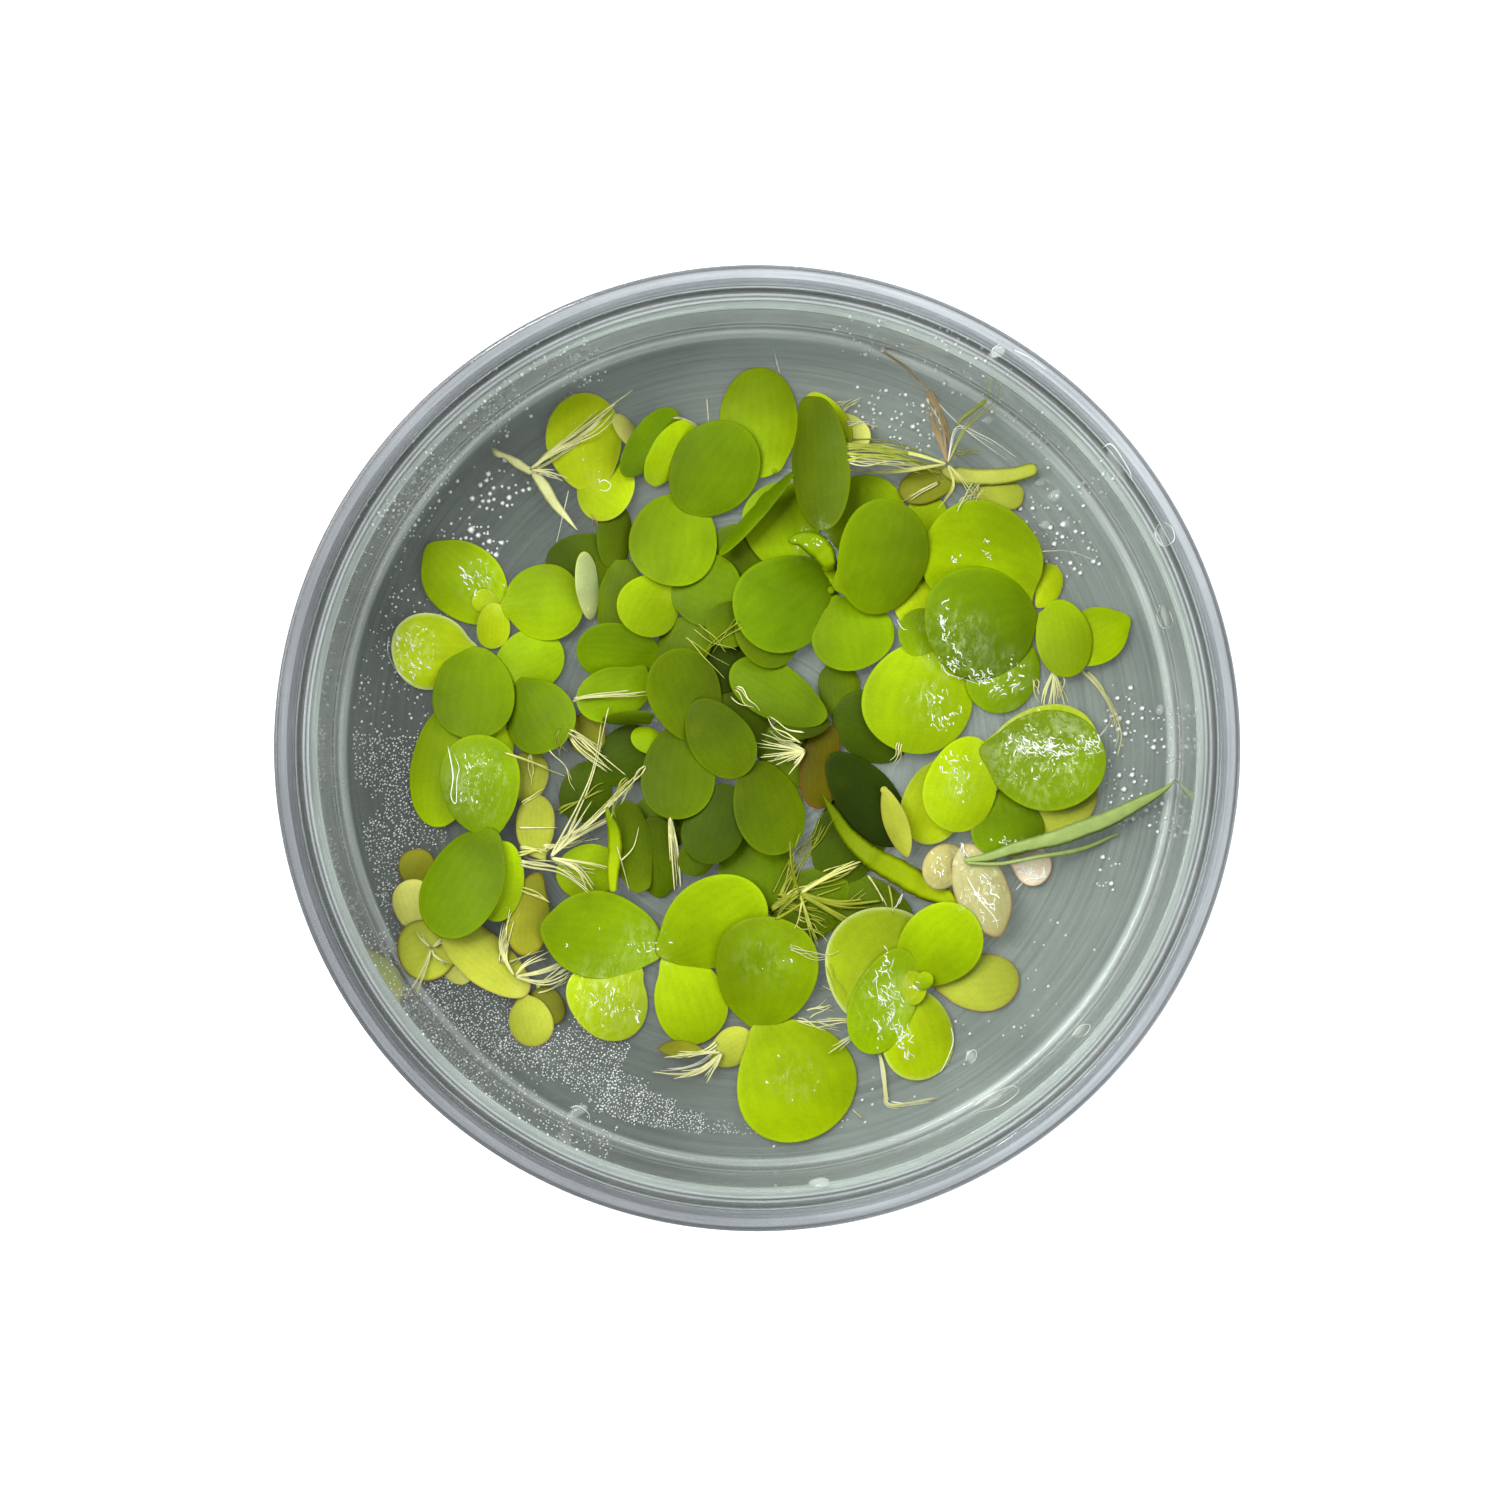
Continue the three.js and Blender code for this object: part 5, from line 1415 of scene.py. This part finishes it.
def sideBySide(pile, places, radius, toneName, count, apart):
    # Strands that start close together at the first place and end apart, each laid on the heap.
    # They are to the side by start + (end - start) share to the power 1.2 + two sines of share.
    form = rootForm["loose"]
    tone = linear(rootForm[toneName]) * rootForm["gain"]
    plan = evenPath(places, rootForm["step"] / photo["millimetres"])
    share = np.linspace(0, 1, len(plan))
    side = np.gradient(plan, axis=0)[:, ::-1] * (1, -1)
    side /= np.linalg.norm(side, axis=1)[:, None]
    for k in range(count):
        start = rng.normal(0, form["starts"]) * apart
        end = rng.uniform(-form["ends"], form["ends"]) * apart
        sway = rng.normal(0, form["sway"], 2) * min(apart, form["mostSway"]) * (count > 1)
        offset = start + (end - start) * share**1.2
        offset = offset + sway[0] * np.sin(6 * share) + sway[1] * np.sin(11 * share)
        last = len(plan) if count == 1 else int(len(plan) * rng.uniform(*form["length"]))
        strand = (plan + side * offset[:, None])[: max(4, last)]
        thickness = radius * (1 if count == 1 else rng.uniform(*form["thick"]))
        path = laid(inHeap(strand), thickness)
        path[:, 2] += rng.uniform(0, form["lift"]) * share[: len(path)] * (count > 1)
        sweep(pile, path, thickness, tone * rng.uniform(*form["shades"]))


def laid(plan, radius):
    # Lies on the heap from above: at each place the highest of the surface under the strand, less
    # the slope times the distance along it.
    surface = np.fmax(castFrom(above, heapTree, plan), tub["floor"]) + radius + rootForm["clear"]
    lengths = np.r_[0, np.cumsum(np.linalg.norm(np.diff(plan, axis=0), axis=1))]
    height = (surface[None] - rootForm["slope"] * np.abs(lengths[:, None] - lengths)).max(1)
    return np.c_[plan, height]


def rootSkin():
    material, tree, inputs = newMaterial("root skin")
    tone = attribute(tree, "tone")["Color"]
    tree.links.new(scaled(tree, tone, patchy(tree, rootForm["streaks"])), inputs["Base Color"])
    tree.links.new(patchy(tree, rootForm["rough"]), inputs["Roughness"])
    tree.links.new(grained(tree, rootForm["relief"]), inputs["Normal"])
    setSockets(inputs, rootForm["sockets"])
    return material


threads = rootSkin()
for bunchName, bunch in bunches.items():
    makePiece(bunchName + "_threads", bunchPile(bunchName, bunch), threads, [bunchName])
loosePile = Pile()
for row in looseRoots:
    sideBySide(loosePile, *row)
makePiece("loose_roots", loosePile, threads)
print(f"{len(bunches)} bunches of roots and {len(looseRoots)} loose groups are made")


# Water
drops = {
    "rows": 5,
    "sides": 14,
    "height": 0.26,  # of a drop, as a share of its width
    "sunk": 0.03,  # into what it lies on, as a share of its height
    "base": 0.02,  # how far its closed base bulges down
    "wobble": (0.08, 0.06),  # of its outline, twice and three times round
}
edgeForm = {  # a bright edge of water, white as a painted highlight
    "step": 1.5,  # in pixels
    "raised": 0.4,  # both as shares of its thickness
    "high": 1.4,
    "least": 0.35,  # its width at the ends, as a share of that in the middle
    "rippled": 0.2,
}
glintForm = {  # a small wavy streak of painted glint
    "steps": 5,
    "turned": 28,  # how much streaks differ in direction, in degrees
    "spread": 0.6,
    "length": (0.15, 1),
    "sway": 0.12,
    "half": (0.25, 0.8),  # of its thickness, in pixels
    "wide": (0.6, 1.6),
    "raised": 0.02,
}
fogForm = {
    "rows": 1,
    "sides": 6,
    "height": 0.7,  # of a speck, as a share of half of its width
    "apart": 0.5,  # the least between two, as a share of their widths
    "waves": (19, 27, 16, 33),  # of the swaths that are wiped clear, in pixels
    "winding": 1.5,
    "ragged": 0.35,
    "wiped": -1.2,
}
waterLooks = {  # colour, roughness, and how much of it shows over what is below. The near white of the edges and streaks is a painted highlight where water glints
    "clear water": ((0.8, 0.84, 0.8, 1), 0.02, 0.25),
    "painted highlight water": ((0.9, 0.95, 0.86, 1), 0.05, 0.85),
    "painted glint water": ((0.92, 0.96, 0.86, 1), 0.05, 0.7),
    "fog": ((0.92, 0.95, 0.93, 1), 0.1, 0.85),
}
waterGrain = {"scale": 800, "detail": 2, "rougher": 0.05}
waterSockets = {"IOR": 1.33, "Specular IOR Level": 1}
untinted = np.ones(3)  # water's colour is all in its material
tubDrops = [  # place, length and width in pixels, and turn in degrees
    (1117, 465, 46, 20, -50),
    (1164, 536, 24, 14, -65),
    (1165, 616, 24, 12, -80),
    (995, 1098, 42, 14, 30),
    (1080, 1030, 20, 12, 45),
    (820, 1183, 22, 14, 5),
    (577, 1112, 24, 12, -30),
    (997, 352, 16, 12, -30),
    (971, 1057, 16, 10, 60),
    (413, 480, 9, 7, 50),
    (1040, 482, 11, 9, 0),
    (1055, 496, 14, 13, 0),
    (1045, 525, 11, 10, 0),
    (1066, 524, 9, 9, 0),
    (988, 420, 12, 8, 0),
    (936, 434, 9, 7, 0),
    (1160, 710, 9, 12, 0),
]
waterEdges = [  # bright edges of water, painted as highlights, in pixels, and their thickness in millimetres
    ([(448, 746), (453, 775), (451, 796), (456, 803), (457, 780), (459, 768), (454, 754)], 0.06),
    ([(598, 484), (604, 480), (611, 485), (606, 491), (599, 489)], 0.05),
    ([(389, 636), (388, 652), (397, 671), (413, 684)], 0.05),
    ([(458, 566), (464, 571), (467, 580)], 0.09),
    ([(942, 663), (947, 673), (964, 679), (978, 684)], 0.05),
    ([(897, 619), (902, 628), (908, 630)], 0.05),
    ([(951, 1027), (953, 1043), (943, 1068), (934, 1078)], 0.05),
    ([(967, 877), (980, 900), (995, 918), (998, 929)], 0.07),
    ([(1015, 891), (1026, 880), (1041, 877), (1045, 861)], 0.07),
    ([(1159, 524), (1155, 534), (1163, 546), (1174, 540), (1172, 528), (1164, 522)], 0.05),
    ([(1160, 605), (1157, 616), (1163, 628), (1173, 624), (1169, 610)], 0.05),
    ([(974, 1106), (988, 1096), (1012, 1086), (1018, 1092), (1000, 1106), (978, 1112)], 0.05),
    ([(1072, 1036), (1080, 1026), (1090, 1025), (1086, 1034), (1076, 1038)], 0.05),
    ([(966, 1062), (968, 1053), (975, 1050), (976, 1058), (969, 1065)], 0.04),
    ([(570, 1108), (578, 1106), (588, 1113), (590, 1121)], 0.05),
    ([(994, 358), (992, 350), (1000, 344)], 0.06),
    ([(1102, 448), (1112, 445), (1128, 468), (1132, 480)], 0.05),
    ([(1014, 350), (1030, 358), (1046, 370)], 0.05),
]
sparkles = [  # in pixels: middle, spread across and down, turn of the streaks, count and length; the streaks are painted glints
    (1036, 746, 26, 6, 10, 46, 16),
    (1064, 748, 26, 7, 20, 50, 14),
    (1090, 742, 12, 6, 40, 18, 10),
    (1050, 770, 36, 14, 60, 16, 8),
    (1014, 746, 8, 9, 100, 10, 12),
    (955, 764, 10, 12, 60, 22, 14),
    (962, 790, 8, 9, 70, 8, 8),
    (1008, 842, 12, 5, 60, 12, 10),
    (884, 980, 10, 26, 75, 26, 20),
    (892, 1010, 8, 20, 80, 14, 16),
    (904, 1034, 9, 20, 75, 26, 22),
    (878, 1034, 6, 12, 85, 8, 14),
    (985, 893, 12, 20, 60, 34, 14),
    (1026, 872, 16, 10, 110, 34, 14),
    (940, 868, 8, 12, 80, 12, 10),
    (608, 1000, 16, 16, 90, 22, 12),
    (636, 1014, 5, 14, 60, 10, 12),
    (652, 945, 14, 6, 20, 12, 9),
    (945, 630, 5, 18, 80, 20, 16),
    (955, 664, 10, 12, 60, 26, 14),
    (984, 678, 12, 7, 20, 22, 12),
    (1008, 684, 12, 7, 150, 16, 12),
    (1016, 668, 8, 8, 60, 10, 8),
    (936, 704, 10, 22, 70, 22, 14),
    (952, 716, 10, 18, 80, 14, 10),
    (400, 640, 12, 16, 30, 30, 9),
    (418, 660, 12, 16, 60, 24, 8),
    (468, 784, 6, 26, 80, 12, 12),
    (478, 580, 16, 14, 60, 26, 10),
    (590, 448, 14, 20, 70, 6, 6),
    (986, 548, 8, 10, 70, 8, 9),
    (952, 560, 6, 5, 80, 6, 8),
    (817, 543, 18, 6, 20, 12, 5),
    (604, 940, 30, 16, 60, 6, 6),
    (780, 950, 30, 26, 60, 5, 6),
    (796, 1082, 30, 22, 75, 5, 10),
    (914, 985, 6, 6, 60, 8, 8),
]
fogFields = [  # on the tub: from and to turn, inner and outer radius in pixels, count, size in pixels
    (216, 230, 352, 410, 1900, (1.3, 2.8)),
    (229, 247, 322, 402, 5200, (1.3, 2.8)),
    (246, 252, 350, 396, 900, (1.3, 2.8)),
    (251, 257, 360, 393, 620, (1.3, 2.6)),
    (256, 262, 369, 390, 330, (1.3, 2.4)),
    (261, 267, 374, 388, 60, (1.3, 2.2)),
    (265, 273, 376, 387, 24, (1.3, 2)),
    (178, 204, 322, 404, 2200, (1.3, 2.8)),
    (200, 217, 345, 408, 800, (1.3, 2.6)),
    (150, 178, 330, 405, 260, (1.5, 3.6)),
    (112, 150, 398, 446, 420, (2, 5)),
    (205, 250, 404, 440, 420, (1.8, 3.4)),
    (130, 139, 345, 385, 60, (3, 8)),
    (141, 149, 320, 362, 90, (3, 10)),
    (139, 152, 320, 385, 60, (2.5, 5)),
    (60, 75, 335, 385, 80, (2.5, 7)),
    (28, 43, 335, 395, 120, (2.5, 9)),
    (-12, 10, 350, 418, 180, (2.5, 8)),
    (-22, -17, 362, 385, 26, (2.5, 7)),
    (270, 330, 330, 400, 60, (2, 4)),
    (36, 80, 404, 450, 90, (2, 6)),
]


def domes(pile, places, normals, sizes, turns, form):
    # A dome is the upper half of a globe, stretched along three axes and sunk a little into what
    # it lies on. Its outline is 1 + a sin(2 turn) + b sin(3 turn) times as far out.
    rise = np.linspace(90, 0, form["rows"] + 1)[1:]
    around = np.linspace(0, 2 * np.pi, form["sides"], endpoint=False)
    unit = globe(rise, around)
    twice, thrice = drops["wobble"]
    for place, normal, size, turn in zip(places, normals, sizes, turns):
        first = np.cross(normal, (0, 1, 0))
        first /= np.linalg.norm(first)
        second = np.cross(normal, first)
        turn = np.radians(turn)
        longer = first * np.cos(turn) + second * np.sin(turn)
        axes = np.array([longer, np.cross(normal, longer), normal]) * np.asarray(size)[:, None]
        base = place - normal * drops["sunk"] * size[2]
        wobble = 1 + twice * np.sin(2 * around + turn * 3) + thrice * np.sin(3 * around + 1)
        shape = unit * np.stack([wobble, wobble, np.ones_like(wobble)], -1)
        poles = np.array([base + axes[2], base - normal * drops["base"] * size[2]])
        pile.add(poles, base + shape @ axes, untinted)


def onSurface(tree, pixels):  # where camera rays meet a surface, its normals, and which rays did
    hits = [tree.ray_cast(*rayThrough(pixel)) for pixel in pixels]
    found = np.array([hit[0] is not None for hit in hits])
    places = np.array([hit[0] for hit in hits if hit[0] is not None]).reshape(-1, 3)
    normals = np.array([hit[1] for hit in hits if hit[0] is not None]).reshape(-1, 3)
    normals *= np.sign(normals[:, 2:] + 1e-9)
    return places, normals, found


def singleDrops(pile, tree, rows):
    rows = np.array(rows, float)
    places, normals, found = onSurface(tree, rows[:, :2])
    long, wide = rows[found, 2:4].T * photo["millimetres"] / 2
    sizes = np.stack([long, wide, 2 * wide * drops["height"]], -1)
    domes(pile, places, normals, sizes, -rows[found, 4], drops)


def edgeOfWater(pile, pixels, thickness):
    # A thin strand, near white as a painted highlight of water's edge, through where camera rays meet
    # the heap or, beside it, the tub. Its width is least + (1 - least) times the root of sin(pi share),
    # with a ripple of sin(9 share).
    places = []
    for pixel in evenPath(pixels, edgeForm["step"]):
        hit = heapTree.ray_cast(*rayThrough(pixel))
        if hit[0] is None:
            hit = tubTree.ray_cast(*rayThrough(pixel))
        places.append(hit[0] + Vector((0, 0, thickness * edgeForm["raised"])))
    share = np.linspace(0, 1, len(places))
    least, rippled = edgeForm["least"], edgeForm["rippled"]
    ripple = 1 - rippled + rippled * np.sin(9 * share)
    swell = least + (1 - least) * np.sin(np.pi * share) ** 0.5 * ripple
    sweep(pile, np.array(places), thickness * edgeForm["high"], untinted, swell)


def scatterSparkles(pile):
    # Small wavy streaks of painted light on wet fronds, spread round each middle like a bell curve.
    form = glintForm
    steps = np.linspace(-0.5, 0.5, form["steps"])
    for x, y, across, down, turn, count, longest in sparkles:
        for repeat in range(count):
            angle = np.radians(turn + rng.normal(0, form["turned"]))
            length = longest * rng.uniform(*form["length"]) ** 1.5
            ahead = np.array([np.cos(angle), np.sin(angle)])
            sway = rng.normal(0, form["sway"], len(steps)) * length
            middle = rng.normal(0, form["spread"], 2) * (across, down) + (x, y)
            pixels = middle + steps[:, None] * length * ahead + sway[:, None] * (-ahead[1], ahead[0])
            places, normals, found = onSurface(heapTree, pixels)
            if found.all():
                thick = rng.uniform(*form["half"]) * photo["millimetres"]
                wide = rng.uniform(*form["wide"], len(steps))
                sweep(pile, places + (0, 0, form["raised"]), thick, untinted, wide, 0)


def swaths(across, down):  # high where the fog stays: the sum of two winding waves over the photograph
    first, second, third, fourth = fogForm["waves"]
    winding = fogForm["winding"]
    wave = np.sin(across / first + winding * np.sin(down / second))
    return wave + np.sin(down / third + winding * np.sin(across / fourth))


def fog(pile):
    # Specks at even odds over each field, small ones more often. One that is too close to an
    # earlier one, or in a swath that is wiped clear, is left out.
    for start, end, inner, outer, count, (small, large) in fogFields:
        turn = np.radians(rng.uniform(start, end, count))
        radius = np.sqrt(rng.uniform(inner**2, outer**2, count))
        pixels = np.stack([radius * np.cos(turn), -radius * np.sin(turn)], -1) + photo["middle"]
        size = rng.uniform(0, 1, count) ** 2 * (large - small) + small
        gaps = np.hypot(*(pixels[:, None] - pixels).transpose(2, 0, 1))
        earlier = np.tril(np.ones((count, count), bool), -1)
        close = ((gaps < (size[:, None] + size) * fogForm["apart"]) & earlier).any(1)
        wet = swaths(*pixels.T) + rng.normal(0, fogForm["ragged"], count)
        kept = ~close & (wet > fogForm["wiped"])
        places, normals, found = onSurface(tubTree, pixels[kept])
        half = size[kept][found] * photo["millimetres"] / 2
        sizes = np.stack([half, half, half * fogForm["height"]], -1)
        domes(pile, places, normals, sizes, np.zeros(len(half)), fogForm)


def waterSkin(name):
    colour, rough, seen = waterLooks[name]
    material, tree, inputs = newMaterial(name)
    inputs["Base Color"].default_value = colour
    inputs["Alpha"].default_value = seen
    setSockets(inputs, waterSockets)
    grain = {**waterGrain, "to": (rough, rough + waterGrain["rougher"])}
    tree.links.new(patchy(tree, grain), inputs["Roughness"])
    return material


dropPile, edgePile, sparklePile, fogPile = Pile(), Pile(), Pile(), Pile()
singleDrops(dropPile, tubTree, tubDrops)
for pixels, thickness in waterEdges:
    edgeOfWater(edgePile, pixels, thickness)
scatterSparkles(sparklePile)
fog(fogPile)
makePiece("water_drops", dropPile, waterSkin("clear water"))
makePiece("water_edges", edgePile, waterSkin("painted highlight water"))
makePiece("sparkles", sparklePile, waterSkin("painted glint water"))
makePiece("condensation", fogPile, waterSkin("fog"))
print("drops and fog are on")
